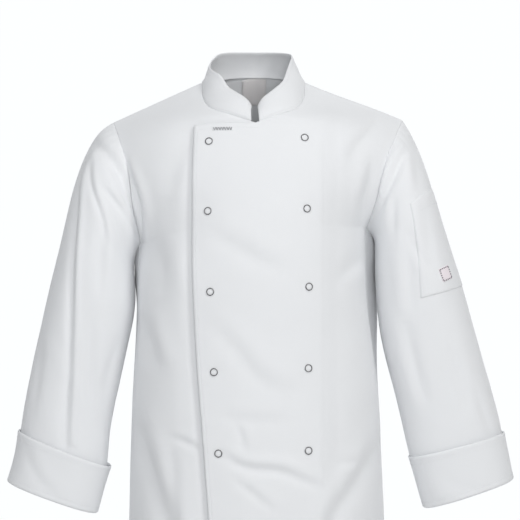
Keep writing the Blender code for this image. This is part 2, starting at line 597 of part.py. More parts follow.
def extension(half, own, edge_of, count):
    """The stretch of a front past the centre line, on the other half's surface, out to its free edge."""
    rows = []
    for v in front_rows_of(own)[:BELOW + 1]:
        z = float(own.at(v, 0.0)[2])
        x = edge_of(z) * np.linspace(0, 1, count + 1)
        lift = 0.007 * smooth(z, -.20, -.0735) * (x / 0.1) ** 1.5
        row = np.stack([half.at_x(half.v_at(z + up), at) for at, up in zip(x, lift)])
        row[0] = own.at(v, 0.0)
        rows.append(row)
    return np.stack(rows)


SHOULDER_GAP = 0.0006
LEAST = 0.022            # narrowest fold that these coarse sections can carry


def front_panel(own, other, edge_of, lapped):
    """The two blocks of a front: its own half, and the stretch past the centre line to its free edge."""
    main = trimmed(main_block(own, front_rows_of(own), ACROSS), SHOULDER_GAP)
    past = extension(other, own, edge_of, BEYOND)
    past[:, 0] = main[:BELOW + 1, 0]
    main, past = (lap_out(main), lap_out(past)) if lapped else (under_in(main), under_in(past))
    keep = kept_at_seams(front_rows_of(own), np.linspace(0, 1, ACROSS + 1), own)
    return fold_body(main, FRONT_FOLDS, -1, LEAST, keep), fold_body(past, FRONT_FOLDS, -1, LEAST)


main, past = front_panel(FRONT_L, FRONT_R, lambda z: float(flap_x(z)), True)
cloth_object("front_left", [main, past[:, ::-1]])
main, past = front_panel(FRONT_R, FRONT_L, lambda z: UNDER_EDGE, False)
cloth_object("front_right", [main[:, ::-1], past])

# ---- back ----
TO_NAPE, BACK_ABOVE, BACK_ACROSS = 6, 5, 9
BACK_BELOW = SIDE_SEAM + TO_NAPE
halves = []
for half in (BACK_L, BACK_R):
    rows = rows_of(half, BACK_NAPE, BACK_ARMPIT, SIDE_SEAM, TO_NAPE, BACK_ABOVE)
    keep = kept_at_seams(rows, np.linspace(0, 1, BACK_ACROSS + 1), half)
    block = trimmed(main_block(half, rows, BACK_ACROSS), SHOULDER_GAP)
    halves.append(fold_body(block, BACK_FOLDS, 1, LEAST, keep))
halves[1][:BACK_BELOW + 1, 0] = halves[0][:BACK_BELOW + 1, 0]
cloth_object("back", [halves[0][:, ::-1], halves[1]])

# ---- sleeves and cuffs ----
turn = np.arange(TURNS) / TURNS
sleeve_shares = np.concatenate([np.linspace(0, .16, 4), np.linspace(.16, 1, 12)[1:]])
SLEEVES = {
    "sleeve_left": (Tube(SLEEVE_L, FRONT_L, BACK_L), SLEEVE_FOLDS_L, 1),
    "sleeve_right": (Tube(SLEEVE_R, FRONT_R, BACK_R), SLEEVE_FOLDS_R, -1),
}
ELBOW = 7                # row of a sleeve where its upper and lower lengths meet
for name, (tube, folds, side) in SLEEVES.items():
    grid = sleeve_grid(tube, folds, turn, sleeve_shares, side, LEAST)
    lower = grid[ELBOW:].copy()
    down = lower[1] - lower[0]
    lower[0] += down / np.linalg.norm(down, axis=1, keepdims=True) * 2 * SEAM_END
    cloth_object(name, [grid[:ELBOW + 1]], closed=True)
    cloth_object(name + "_lower", [lower], closed=True)


def inward(ring, step):
    """A ring drawn in towards its middle."""
    off = ring - ring.mean(0)
    return ring - off / np.linalg.norm(off, axis=1, keepdims=True) * step


TURNED = 0.0031          # radius of the cuff's turned edge
for name, rings in (("cuff_left", CUFF_L), ("cuff_right", CUFF_R)):
    outer = Tube(rings).at(turn, np.linspace(0, 1, 4))
    up = outer[1] - outer[0]
    up /= np.linalg.norm(up, axis=1, keepdims=True)
    inner = inward(outer[0], 2 * TURNED)
    rows = [inner + up * 0.012, inner, inward(outer[0], TURNED) - up * TURNED, *outer]
    cloth_object(name, [np.stack(rows)], closed=True)

# ---- collar ----
shares, heights = np.linspace(0, 1, 15), np.linspace(0, 1, 4)
left = collar_half(FRONT_L, BACK_L, COLLAR_L, COLLAR_SLIT[1], True, shares, heights)
right = collar_half(FRONT_R, BACK_R, COLLAR_R, COLLAR_SLIT[0], False, shares, heights)
left[:, -1] = right[:, -1]
cloth_object("collar", [left, right[:, ::-1]])

# ---- what is sewn on ----
PATCH = 0.0010           # wall of the pocket, labels and tags
ON_TOP = CLOTH / 2 + SEAM_END + PATCH / 2 + 0.0006       # middle surface of a patch above its panel's


def moved_out(grid, step, towards):
    """A grid moved along its normals, to the side that faces towards."""
    normal = normals_of(grid)
    if (normal * towards).sum() < 0:
        normal = -normal
    return grid + normal * step


tube, folds, side = SLEEVES["sleeve_left"]
axis = tube.at(turn, np.array([.2, .5])).mean(1)


def on_sleeve(turns, shares, step):
    """Points of the left sleeve at matching turns and shares (both grids), moved out by step."""
    grid = np.stack([[tube.at([t], [s])[0, 0] for t, s in zip(*row)] for row in zip(turns, shares)])
    out = fold_field(turns * AROUND, shares * ALONG, sized(folds), LEAST)
    middle = axis[0] + (axis[1] - axis[0]) * ((shares - .2) / .3)[..., None]
    normal = grid - middle
    normal /= np.linalg.norm(normal, axis=-1, keepdims=True)
    return grid + normal * (out[..., None] + step)


across = np.linspace(0, 1, 7)
edge_top = POCKET["turn"][1] + across * (POCKET["turn"][0] - POCKET["turn"][1])
edge_low = POCKET["turn"][3] + across * (POCKET["turn"][2] - POCKET["turn"][3])
top = POCKET["down"][1] + across * (POCKET["down"][0] - POCKET["down"][1])
low = POCKET["down"][3] + across * (POCKET["down"][2] - POCKET["down"][3])
down = np.linspace(0, 1, 6)[:, None]
pocket_shares, pocket_turns = top + (low - top) * down, edge_top + (edge_low - edge_top) * down
cloth_object("sleeve_pocket", [on_sleeve(pocket_turns, pocket_shares, ON_TOP + .0012)],
             wall=PATCH)

half_tag = np.linspace(-.5, .5, 3)
s, t = np.meshgrid(half_tag * TAG_SIDE / tube.length, half_tag * TAG_SIDE / AROUND, indexing="ij")
cloth_object("pocket_tag", [on_sleeve(TAG_AT[0] + t + s * TAG_TILT[1], TAG_AT[1] + s + t * TAG_TILT[0], ON_TOP + .0012 + .0026)],
             colour=(.78, .70, .70), wall=PATCH)

x = np.linspace(*TAB["x"], 3)
tab = np.stack([[over_spot(q, TAB["z"] + h) for q in x] for h in (-TAB["high"] / 2, TAB["high"] / 2)])
cloth_object("chest_tab", [moved_out(tab, ON_TOP + .0006, np.array([0, -1, 0]))], colour=(.35, .36, .38), wall=PATCH)

x = np.linspace(*LABEL["x"], 4)
nape = BACK_L.at(BACK_L.knots[BACK_NAPE], 0.0)[2]
label = []
for drop in np.linspace(0.002, LABEL["drop"], 4):
    row = []
    for q in x:
        half = BACK_L if q >= 0 else BACK_R
        row.append(half.at_x(half.v_at(nape - drop), abs(q)))
    label.append(row)
cloth_object("neck_label", [moved_out(np.array(label), ON_TOP + .0010, np.array([0, -1, 0]))],
             colour=(.74, .76, .80), wall=PATCH)

# ---- ring studs ----
METAL = (.42, .42, .43)
for letter, spots in (("r", STUD_ROWS_R), ("l", STUD_ROWS_L)):
    for number, (x, z) in enumerate(zip(*spots.values()), 1):
        x = -x if letter == "r" else x
        middle, across, up, out = over_frame(x, z)
        bpy.ops.mesh.primitive_torus_add(major_radius=STUD_RING, minor_radius=STUD_WIRE,
                                         major_segments=16, minor_segments=6)
        ring = bpy.context.object
        ring.name = ring.data.name = f"stud_{letter}{number}"
        ring.data.materials.append(material(ring.name, METAL, 0.25, 1.0))
        ring.data.shade_smooth()
        place = np.eye(4)
        place[:3, 0], place[:3, 1], place[:3, 2] = across, up, out
        place[:3, 3] = middle + out * (CLOTH / 2 + SEAM_END + STUD_WIRE + 0.0006)
        ring.matrix_world = Matrix(place.tolist())
        ring.parent = jacket
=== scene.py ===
"""Looks of the chef jacket: fine cloth shells with their creases, seams, stitching and studs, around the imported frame."""

import bpy
import numpy as np
from mathutils import Matrix, Vector


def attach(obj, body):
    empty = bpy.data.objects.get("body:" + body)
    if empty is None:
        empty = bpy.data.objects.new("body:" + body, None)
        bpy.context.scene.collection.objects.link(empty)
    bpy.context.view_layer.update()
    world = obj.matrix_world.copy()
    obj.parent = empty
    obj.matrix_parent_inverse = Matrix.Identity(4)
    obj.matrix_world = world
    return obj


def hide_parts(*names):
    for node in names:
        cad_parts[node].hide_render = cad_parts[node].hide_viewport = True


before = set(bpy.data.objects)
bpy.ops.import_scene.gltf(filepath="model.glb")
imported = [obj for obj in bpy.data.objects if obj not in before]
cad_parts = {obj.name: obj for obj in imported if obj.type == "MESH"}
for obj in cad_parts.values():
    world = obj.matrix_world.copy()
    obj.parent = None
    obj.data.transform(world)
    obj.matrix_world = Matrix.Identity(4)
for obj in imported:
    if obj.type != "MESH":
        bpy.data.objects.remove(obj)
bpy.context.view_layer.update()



# ---- driving sizes, metres ----
CLOTH = 0.0015          # wall of every cloth piece
SEAM_END = 0.0003       # gap where two walls meet edge to edge, measured on their inner faces
SEAM_TURN = 0.0012      # gap between middle surfaces where two walls meet at an angle
UNDERARM = 0.0016       # how far the sleeve also stands off the body at the underarm
COLLAR_GAP = 0.0018     # gap between the collar's lower edge and the neckline's middle surface
LAP = 0.0034            # how far the over-front stands in front of the under-front
UNDER_EDGE = 0.105      # hidden free edge of the under-front, from the centre line
UNDER_EASE = 0.0012     # how much further in the under-front lies where it is covered
LAP_FADE = 0.028        # width over which the over-front comes back to the body beyond it
COLLAR_SLIT = (0.0085, 0.0065)   # half gaps between the collar's ends: wearer's right, wearer's left


def table(columns, *rows):
    """A table with named columns, a row for each section."""
    return {name: np.array(column, float) for name, column in zip(columns.split(), zip(*rows))}


# Half sections of the front, hem to shoulder. Each runs from its inner end (centre line, then
# neckline) to its outer end (side seam, then armhole). l and r are the wearer's left (+X) and right.
#    inner end                      outer end                             leaves        arrives             pulls
FRONT = table(
    "il     ir     iy     iz      ol     or_    oy     olz    orz     dy    dz    ex    exr   ey    ez    ip   op",
    (0.000, 0.000, -.148, -.785, .2125, .2101,  .000, -.785, -.785,     0,     0,     0,     0,     1,     0,   .48,   .36),
    (0.000, 0.000, -.147, -.700, .2096, .2077,  .000, -.700, -.700,     0,     0,     0,     0,     1,     0,   .48,   .36),
    (0.000, 0.000, -.143, -.600, .2053, .2058,  .000, -.600, -.600,     0,     0,     0,     0,     1,     0,   .48,   .36),
    (0.000, 0.000, -.138, -.500, .1995, .2016, -.003, -.500, -.500,     0,     0,     0,     0,     1,     0,   .48,   .36),
    (0.000, 0.000, -.135, -.400, .1862, .1960, -.012, -.400, -.400,     0,     0,   0.1,   0.1,     1,     0,   .48,   .36),
    (0.000, 0.000, -.134, -.310, .1785, .1928, -.018, -.318, -.318,     0,     0,   0.2,   0.2,     1,     0,   .48,   .36),
    (0.000, 0.000, -.130, -.235, .1815, .1900, -.012, -.241, -.266,     0,     0,   .35,   .35,   .94,     0,   .46,   .36),
    (0.000, 0.000, -.120, -.175, .1975, .2005, -.045, -.190, -.208,     0,     0,   .70,   .70,   .70,  -.12,   .42,   .32),
    (0.000, 0.000, -.106, -.122, .2070, .2065, -.049, -.150, -.160,     0,     0,   .74,   .74,   .62,  -.25,   .40,   .32),
    (0.000, 0.000, -.088, -.0735, .2160, .2135, -.041, -.118, -.125,     0,     0,   .80,   .80,   .50,  -.35,   .38,   .32),
    (0.038, 0.042, -.080, -.0600, .2245, .2205, -.030, -.1005, -.105,   .05,  -.08,   .84,   .84,   .40,  -.40,   .36,   .32),
    (0.068, 0.075, -.058, -.0470, .2315, .2265, -.015, -.0845, -.0885,   .10,  -.18,   .87,   .87,   .30,  -.44,   .34,   .32),
    (0.079, 0.087, -.029, -.0275, .2375, .2315, -.001, -.0730, -.077,   .10,  -.36,   .88,   .88,   .20,  -.43,   .33,   .33),
    (0.081, 0.089,  .000,-.0015, .2420, .2355,  .012, -.0630, -.0665,   .05,  -.45,   .89,   .89,   .10,  -.40,   .33,   .33),
)
FRONT_PIT, FRONT_ARMPIT = 9, 6          # rows at the neck pit and at the armpit

# Half sections of the back, hem to shoulder, in the same columns.
BACK = table(
    "il     ir     iy     iz      ol     or_    oy     olz    orz     dy    dz    ex    exr   ey    ez    ip   op",
    (0.000, 0.000,  .148, -.785, .2125, .2101,  .000, -.785, -.785,     0,     0,     0,     0,    -1,     0,   .48,   .36),
    (0.000, 0.000,  .146, -.700, .2096, .2077,  .000, -.700, -.700,     0,     0,     0,     0,    -1,     0,   .48,   .36),
    (0.000, 0.000,  .139, -.600, .2053, .2058,  .000, -.600, -.600,     0,     0,     0,     0,    -1,     0,   .48,   .36),
    (0.000, 0.000,  .127, -.500, .1995, .2016, -.003, -.500, -.500,     0,     0,  -.15,  -.05,    -1,     0,   .56,   .44),
    (0.000, 0.000,  .120, -.400, .1862, .1960, -.012, -.400, -.400,     0,     0,  -.44,  -.04,    -1,     0,   .70,   .56),
    (0.000, 0.000,  .124, -.310, .1785, .1928, -.018, -.318, -.318,     0,     0,  -.44,  -.17,    -1,     0,   .83,   .64),
    (0.000, 0.000,  .131, -.235, .1815, .1900, -.012, -.241, -.266,     0,     0,  -.30,  -.12,  -.95,    .1,   .54,   .36),
    (0.000, 0.000,  .133, -.165, .1890, .1965,  .045, -.212, -.232,     0,     0,   .35,   .35,  -.88,  -.10,   .44,   .32),
    (0.000, 0.000,  .125, -.095, .1970, .2035,  .073, -.166, -.182,     0,     0,   .75,   .75,  -.62,  -.25,   .42,   .32),
    (0.000, 0.000,  .105, -.035, .2070, .2115,  .071, -.122, -.132,     0,  -.05,   .85,   .85,  -.35,  -.42,   .38,   .32),
    (0.000, 0.000, .0765,  .016, .2185, .2195,  .055, -.092, -.099,     0,  -.16,   .86,   .86,  -.22,  -.46,   .36,   .32),
    (0.045, 0.049, .0655, .0125, .2290, .2265,  .038, -.0765, -.082,   .05,  -.30,   .88,   .88,  -.16,  -.45,   .34,   .32),
    (0.070, 0.077, .0370, .0040, .2365, .2320,  .024, -.068, -.0725,   .05,  -.41,   .89,   .89,  -.08,  -.41,   .33,   .33),
    (0.081, 0.089, .0000,-.0015, .2420, .2355,  .012, -.0630, -.0665,   .05,  -.45,   .89,   .89,   .10,  -.40,   .33,   .33),
)
BACK_NAPE, BACK_ARMPIT = 10, 6          # rows at the nape and at the armpit

# Largest folds of the fronts: a trough's line through three points in the front view, its half width
# and depth, and how much of the depth stands up as a ridge beside it (minus: on the line's right).
FRONT_FOLDS = table(
    "x0     z0     x1     z1     x2     z2     width  depth  ridge",
    (-.186, -.262, -.150, -.290, -.138, -.365, .020,  .0045,  .3),
    (-.185, -.390, -.174, -.430, -.158, -.470, .015,  .0035,  .4),
    (-.192, -.556, -.170, -.630, -.140, -.730, .016,  .0065, -.7),
    (-.134, -.610, -.131, -.665, -.122, -.740, .017,  .0040,  .3),
    (-.068, -.395, -.018, -.458,  .058, -.505, .016,  .0050,  .6),
    (-.055, -.595,  .010, -.632,  .110, -.655, .011,  .0045,  .6),
    (0.202, -.585,  .158, -.655,  .090, -.760, .016,  .0070,  .7),
    (0.203, -.060,  .176, -.095,  .150, -.150, .014,  .0040,  .4),
    (0.188, -.130,  .178, -.180,  .176, -.235, .011,  .0045,  .3),
    (-.112, -.085, -.119, -.120, -.145, -.190, .018,  .0030,  .2),
)
# The same for the back, seen from the front through the body.
BACK_FOLDS = table(
    "x0     z0     x1     z1     x2     z2     width  depth  ridge",
    (-.180, -.250, -.130, -.300, -.070, -.330, .018,  .0050,  .5),
    (0.180, -.240,  .135, -.300,  .085, -.350, .018,  .0050,  .5),
    (-.150, -.380, -.060, -.425,  .040, -.430, .018,  .0055, -.5),
    (0.150, -.420,  .080, -.470, -.010, -.480, .016,  .0045,  .5),
    (-.120, -.560, -.105, -.650, -.110, -.785, .020,  .0060,  .4),
    (0.110, -.540,  .100, -.650,  .085, -.785, .020,  .0060, -.4),
)
# Sleeve folds, in shares of a turn (0 outer side, 0.25 front, 0.5 inner side) and of the length.
SLEEVE_FOLDS_R = table(
    "t0     s0    t1     s1    t2     s2    width  depth  ridge",
    (0.110, .150, .105, .420, .115, .840,  .014,  .0050, -.6),
    (0.330, .130, .370, .230, .420, .330,  .014,  .0050,  .5),
    (0.250, .420, .290, .560, .270, .760,  .015,  .0035,  .4),
    (0.620, .200, .700, .330, .800, .400,  .016,  .0050,  .5),
    (0.560, .470, .680, .540, .800, .560,  .014,  .0045,  .5),
    (0.870, .300, .880, .550, .860, .800,  .016,  .0040, -.5),
)
SLEEVE_FOLDS_L = table(
    "t0     s0    t1     s1    t2     s2    width  depth  ridge",
    (0.280, .200, .260, .330, .200, .430,  .014,  .0045,  .5),
    (0.330, .330, .300, .520, .230, .700,  .015,  .0045, -.5),
    (0.400, .160, .360, .280, .350, .420,  .013,  .0040,  .4),
    (0.640, .220, .720, .340, .820, .390,  .016,  .0050,  .5),
    (0.560, .500, .680, .560, .820, .570,  .014,  .0045,  .5),
    (0.880, .320, .890, .560, .870, .780,  .016,  .0040,  .5),
)
AROUND, ALONG = 0.42, 0.66      # typical girth and length of a sleeve, to give its folds their sizes

# Free edge of the over-front, on the wearer's right of the centre line.
FLAP = table("z x", (-.785, .0680), (-.690, .0747), (-.630, .0794), (-.585, .0826), (-.510, .0890),
             (-.420, .0952), (-.300, .1000), (-.160, .1003), (-.075, .0992))

# Sleeve rings from the armhole down: outer and inner ends of each ring in the front view,
# how far it reaches forward and back, and how square it is (2 is an ellipse).
SLEEVE_R = table(
    "ox      oz      ix      iz      front   back   square",
    (-.2355, -.0665, -.1900, -.2660, -.050,  .075,  2.0),
    (-.2575, -.0830, -.1932, -.2705, -.060,  .080,  2.1),
    (-.2770, -.1120, -.1960, -.2760, -.066,  .081,  2.2),
    (-.2938, -.1530, -.1985, -.2840, -.070,  .080,  2.2),
    (-.3068, -.2040, -.2012, -.2960, -.072,  .078,  2.2),
    (-.3215, -.2680, -.2014, -.3200, -.073,  .075,  2.2),
    (-.3376, -.3340, -.1996, -.3620, -.071,  .070,  2.2),
    (-.3528, -.3990, -.2112, -.4300, -.067,  .063,  2.2),
    (-.3678, -.4700, -.2284, -.5080, -.062,  .055,  2.2),
    (-.3820, -.5450, -.2420, -.5850, -.058,  .048,  2.2),
    (-.3905, -.5980, -.2480, -.6420, -.056,  .044,  2.2),
    (-.4036, -.6482, -.2620, -.7007, -.0550, .0420, 2.3),
)
SLEEVE_L = table(
    "ox      oz      ix      iz      front   back   square",
    (0.2420, -.0630, 0.1815, -.2410, -.050,  .075,  2.0),
    (0.2550, -.0850, 0.1860, -.2455, -.060,  .080,  2.1),
    (0.2690, -.1150, 0.1910, -.2515, -.066,  .081,  2.2),
    (0.2834, -.1560, 0.1955, -.2600, -.070,  .080,  2.2),
    (0.2980, -.2070, 0.1970, -.2750, -.072,  .078,  2.2),
    (0.3168, -.2680, 0.1970, -.3040, -.073,  .075,  2.2),
    (0.3382, -.3340, 0.2000, -.3640, -.071,  .070,  2.2),
    (0.3562, -.3990, 0.2093, -.4340, -.067,  .063,  2.2),
    (0.3766, -.4730, 0.2283, -.5085, -.062,  .055,  2.2),
    (0.3974, -.5480, 0.2460, -.5830, -.058,  .048,  2.2),
    (0.4080, -.6000, 0.2605, -.6400, -.056,  .044,  2.2),
    (0.4190, -.6456, 0.2770, -.6926, -.0550, .0420, 2.3),
)

# Turned-back cuffs: ring at the turned edge and ring at the free top edge.
CUFF_R = table(
    "ox      oz      ix      iz      front   back   square",
    (-.4080, -.6532, -.2605, -.7062, -.0585, .0455, 2.3),
    (-.3965, -.6140, -.2504, -.6690, -.0600, .0475, 2.3),
    (-.3902, -.5735, -.2393, -.6335, -.0625, .0515, 2.3),
)
CUFF_L = table(
    "ox      oz      ix      iz      front   back   square",
    (0.4230, -.6490, 0.2750, -.6978, -.0585, .0455, 2.3),
    (0.4150, -.6132, 0.2638, -.6590, -.0600, .0475, 2.3),
    (0.4076, -.5765, 0.2518, -.6175, -.0625, .0515, 2.3),
)

# Top edge of the collar, front end to centre back, each half. at is the share of the half's length.
COLLAR_L = table(
    "at    x      y      z",
    (0.00, .0030, -.0715, -.0460),
    (0.08, .0105, -.0690, -.0335),
    (0.18, .0210, -.0640, -.0240),
    (0.30, .0335, -.0560, -.0135),
    (0.42, .0445, -.0440, -.0020),
    (0.52, .0500, -.0300,  .0130),
    (0.62, .0562, -.0130,  .0310),
    (0.72, .0588,  .0080,  .0430),
    (0.82, .0530,  .0330,  .0500),
    (0.91, .0320,  .0530,  .0535),
    (1.00, .0000,  .0605,  .0545),
)
COLLAR_R = table(
    "at    x      y      z",
    (0.00, .0075, -.0705, -.0460),
    (0.08, .0135, -.0685, -.0360),
    (0.18, .0255, -.0630, -.0265),
    (0.30, .0385, -.0545, -.0180),
    (0.40, .0485, -.0475, -.0080),
    (0.47, .0560, -.0400,  .0045),
    (0.54, .0645, -.0290,  .0120),
    (0.62, .0745, -.0100,  .0205),
    (0.72, .0735,  .0120,  .0360),
    (0.82, .0608,  .0340,  .0492),
    (0.91, .0380,  .0530,  .0540),
    (1.00, .0000,  .0605,  .0545),
)
COLLAR_BOW = 0.004       # outward bow of the collar band half-way up

POCKET = table("turn down", (.225, .135), (-.030, .158), (.2575, .4025), (-.030, .394))   # top front, top back, bottom front, bottom back
TAG_AT, TAG_SIDE = (.1475, .3475), 0.0215   # sleeve tag: turn and share of length of its middle, and its side
TAG_TILT = (.11, -.136)          # how its share changes with its turn, and its turn with its share
LABEL = {"x": (-.0235, .0165), "drop": .046}           # neck label: its sides, and how far it hangs below the nape
TAB = {"x": (-.0700, -.0360), "z": -.0835, "high": .0055}  # strip on the flap's top corner
STUD_ROWS_R = table("x z", (.0750, -.1040), (.0760, -.2160), (.0720, -.3440), (.0660, -.4710), (.0590, -.5990))
STUD_ROWS_L = table("x z", (.0780, -.0980), (.0810, -.2120), (.0840, -.3360), (.0830, -.4650), (.0830, -.5950))
STUD_RING, STUD_WIRE = 0.0056, 0.0008   # ring radius to the middle of the metal, and half its thickness


def natural_spline(knots, values, where):
    """Natural cubic spline of values (rows) at the knots, read at where."""
    knots, values, where = np.asarray(knots, float), np.asarray(values, float), np.asarray(where, float)
    flat = values.reshape(len(knots), -1)
    n = len(knots)
    if n == 2:
        share = ((where - knots[0]) / (knots[1] - knots[0])).reshape(-1, 1)
        return (flat[0] + share * (flat[1] - flat[0])).reshape(where.shape + values.shape[1:])
    gap = np.diff(knots)
    system, right = np.zeros((n, n)), np.zeros((n, flat.shape[1]))
    system[0, 0] = system[-1, -1] = 1.0
    for i in range(1, n - 1):
        system[i, i - 1:i + 2] = gap[i - 1], 2 * (gap[i - 1] + gap[i]), gap[i]
        right[i] = 6 * ((flat[i + 1] - flat[i]) / gap[i] - (flat[i] - flat[i - 1]) / gap[i - 1])
    bend = np.linalg.solve(system, right)
    q = where.reshape(-1)
    i = np.clip(np.searchsorted(knots, q) - 1, 0, n - 2)
    h = gap[i][:, None]
    a, b = (knots[i + 1] - q)[:, None], (q - knots[i])[:, None]
    out = (bend[i] * a ** 3 + bend[i + 1] * b ** 3) / (6 * h) \
        + (flat[i] / h - bend[i] * h / 6) * a + (flat[i + 1] / h - bend[i + 1] * h / 6) * b
    return out.reshape(where.shape + values.shape[1:])


def smooth(value, low, high):
    share = np.clip((value - low) / (high - low), 0, 1)
    return share * share * (3 - 2 * share)


def fold_field(u, w, folds, least=0.0):
    """How far the cloth stands out (plus) or in (minus) at (u, w): the sum of the folds' troughs and ridges."""
    out = np.zeros(np.shape(u))
    t = np.linspace(0, 1, 25)
    names = list(folds)
    for row in zip(*folds.values()):
        a0, b0, a1, b1, a2, b2, width, depth, ridge = row
        depth, width = depth * min(1, width / max(least, 1e-9)), max(width, least)
        line = np.stack([a0 * (1 - t) * (1 - 2 * t) + a1 * 4 * t * (1 - t) + a2 * t * (2 * t - 1),
                         b0 * (1 - t) * (1 - 2 * t) + b1 * 4 * t * (1 - t) + b2 * t * (2 * t - 1)], 1)
        along = np.gradient(line, axis=0)
        along /= np.linalg.norm(along, axis=1, keepdims=True)
        du, dw = u[..., None] - line[:, 0], w[..., None] - line[:, 1]
        near = np.argmin(du * du + dw * dw, axis=-1)
        du, dw = (np.take_along_axis(d, near[..., None], -1)[..., 0] for d in (du, dw))
        aside = du * along[near, 1] - dw * along[near, 0]
        past = np.abs(du * along[near, 0] + dw * along[near, 1])
        taper = np.sin(np.pi * np.clip(t[near] * 0.94 + 0.03, 0, 1)) ** 0.7 * np.exp(-(past / width) ** 2)
        side = 1.0 if ridge >= 0 else -1.0
        trough = np.exp(-(aside / width) ** 2)
        crest = abs(ridge) * np.exp(-((aside - side * 1.9 * width) / (1.15 * width)) ** 2)
        out += depth * taper * (crest - trough)
    return out


def normals_of(grid, closed=False):
    """Unit normals of a grid of points (rows x columns)."""
    if closed:
        wide = np.concatenate([grid[:, -1:], grid, grid[:, :1]], 1)
        across = np.gradient(wide, axis=1)[:, 1:-1]
    else:
        across = np.gradient(grid, axis=1)
    normal = np.cross(across, np.gradient(grid, axis=0))
    return normal / np.maximum(np.linalg.norm(normal, axis=-1, keepdims=True), 1e-12)


class Half:
    """One half of a front or back: a surface of (v, a), v along the length and a from centre to edge."""

    def __init__(self, rows, side, inner_corner, outer_corner):
        self.side = side
        inner = np.stack([side * (rows["il"] if side > 0 else rows["ir"]), rows["iy"], rows["iz"]], 1)
        outer = np.stack([side * (rows["ol"] if side > 0 else rows["or_"]), rows["oy"],
                          rows["olz"] if side > 0 else rows["orz"]], 1)
        leave = np.stack([side * np.ones(len(inner)), rows["dy"], rows["dz"]], 1)
        arrive = np.stack([side * (rows["ex"] if side > 0 else rows["exr"]), rows["ey"], rows["ez"]], 1)
        leave /= np.linalg.norm(leave, axis=1, keepdims=True)
        arrive /= np.linalg.norm(arrive, axis=1, keepdims=True)
        chord = np.linalg.norm(outer - inner, axis=1, keepdims=True)
        self.ends = inner, outer
        self.handles = inner + leave * chord * rows["ip"][:, None], outer - arrive * chord * rows["op"][:, None]
        self.corners = inner_corner, outer_corner
        step = (np.linalg.norm(np.diff(inner, axis=0), axis=1) + np.linalg.norm(np.diff(outer, axis=0), axis=1)) / 2
        self.knots = np.concatenate([[0], np.cumsum(step)])
        self.length = self.knots[-1]

    def _end(self, which, v):
        """An end's path: smooth on each side of its corner row."""
        path, corner = self.ends[which], self.corners[which]
        low = natural_spline(self.knots[:corner + 1], path[:corner + 1], v)
        high = natural_spline(self.knots[corner:], path[corner:], v)
        return np.where((v <= self.knots[corner])[..., None], low, high)

    def at(self, v, a):
        v, a = np.broadcast_arrays(np.asarray(v, float), np.asarray(a, float))
        p0, p3 = self._end(0, v), self._end(1, v)
        p1, p2 = (natural_spline(self.knots, h, v) for h in self.handles)
        a = a[..., None]
        return (1 - a) ** 3 * p0 + 3 * a * (1 - a) ** 2 * p1 + 3 * a * a * (1 - a) * p2 + a ** 3 * p3

    def even(self, v, shares):
        """Points on row v at even shares of its length."""
        dense = np.linspace(0, 1, 81)
        run = self.at(v, dense)
        length = np.concatenate([[0], np.cumsum(np.linalg.norm(np.diff(run, axis=0), axis=1))])
        return self.at(v, np.interp(np.asarray(shares) * length[-1], length, dense))

    def at_x(self, v, x):
        """Points on row v whose distance from the centre plane is x."""
        dense = np.linspace(0, 0.9, 121)
        run = self.at(v, dense)
        return self.at(v, np.interp(x, self.side * run[:, 0], dense))

    def v_at(self, z, a=0.0):
        dense = np.linspace(0, self.length if a > 0.5 else self.knots[self.corners[0]], 400)
        return float(np.interp(z, self.at(dense, a)[:, 2], dense))


FRONT_L, FRONT_R = (Half(FRONT, s, FRONT_PIT, FRONT_ARMPIT) for s in (1, -1))
BACK_L, BACK_R = (Half(BACK, s, BACK_NAPE, BACK_ARMPIT) for s in (1, -1))


def rows_of(half, corner, armpit, side_seam, between, above):
    """Row positions: even heights up the side seam, then even to the corner row, then even to the shoulder."""
    z = np.linspace(half.ends[1][0, 2], half.ends[1][armpit, 2], side_seam + 1)
    low = [half.v_at(height, 1.0) for height in z[:-1]]
    mid = np.linspace(half.knots[armpit], half.knots[corner], between + 1)
    high = np.linspace(half.knots[corner], half.length, above + 1)
    return np.concatenate([low, mid, high[1:]])


def lap_out(points):
    """The over-front stands LAP in front of the under-front, and comes back to the body beyond its hidden edge."""
    x, z = points[..., 0], points[..., 2]
    across = 1 - smooth(x, UNDER_EDGE, UNDER_EDGE + LAP_FADE)
    up = 1 - smooth(z, FRONT["iz"][FRONT_PIT] + 0.004, -0.004)
    moved = points.copy()
    moved[..., 1] -= LAP * across * up
    return moved


def under_in(points):
    """The under-front lies UNDER_EASE further in where the over-front covers it."""
    moved = points.copy()
    moved[..., 1] += UNDER_EASE * smooth(points[..., 0], -.130, -.104) * (1 - smooth(points[..., 2], -.0735, -.03))
    return moved


def flap_x(z):
    return natural_spline(FLAP["z"], FLAP["x"], z)


def ring_points(ring, turn):
    """A ring of a sleeve or cuff at shares of a turn: 0 outer side, 0.25 front, 0.5 inner side, 0.75 back."""
    ox, oz, ix, iz, front, back, square = ring
    angle = 2 * np.pi * np.asarray(turn)
    c, s = np.cos(angle), np.sin(angle)
    across = np.sign(c) * np.abs(c) ** (2 / square)
    deep = np.sign(s) * np.abs(s) ** (2 / square)
    middle, half = np.array([(ox + ix) / 2, (front + back) / 2, (oz + iz) / 2]), (back - front) / 2
    arm = np.array([(ox - ix) / 2, 0, (oz - iz) / 2])
    points = middle + across[..., None] * arm
    points[..., 1] -= deep * half
    return points


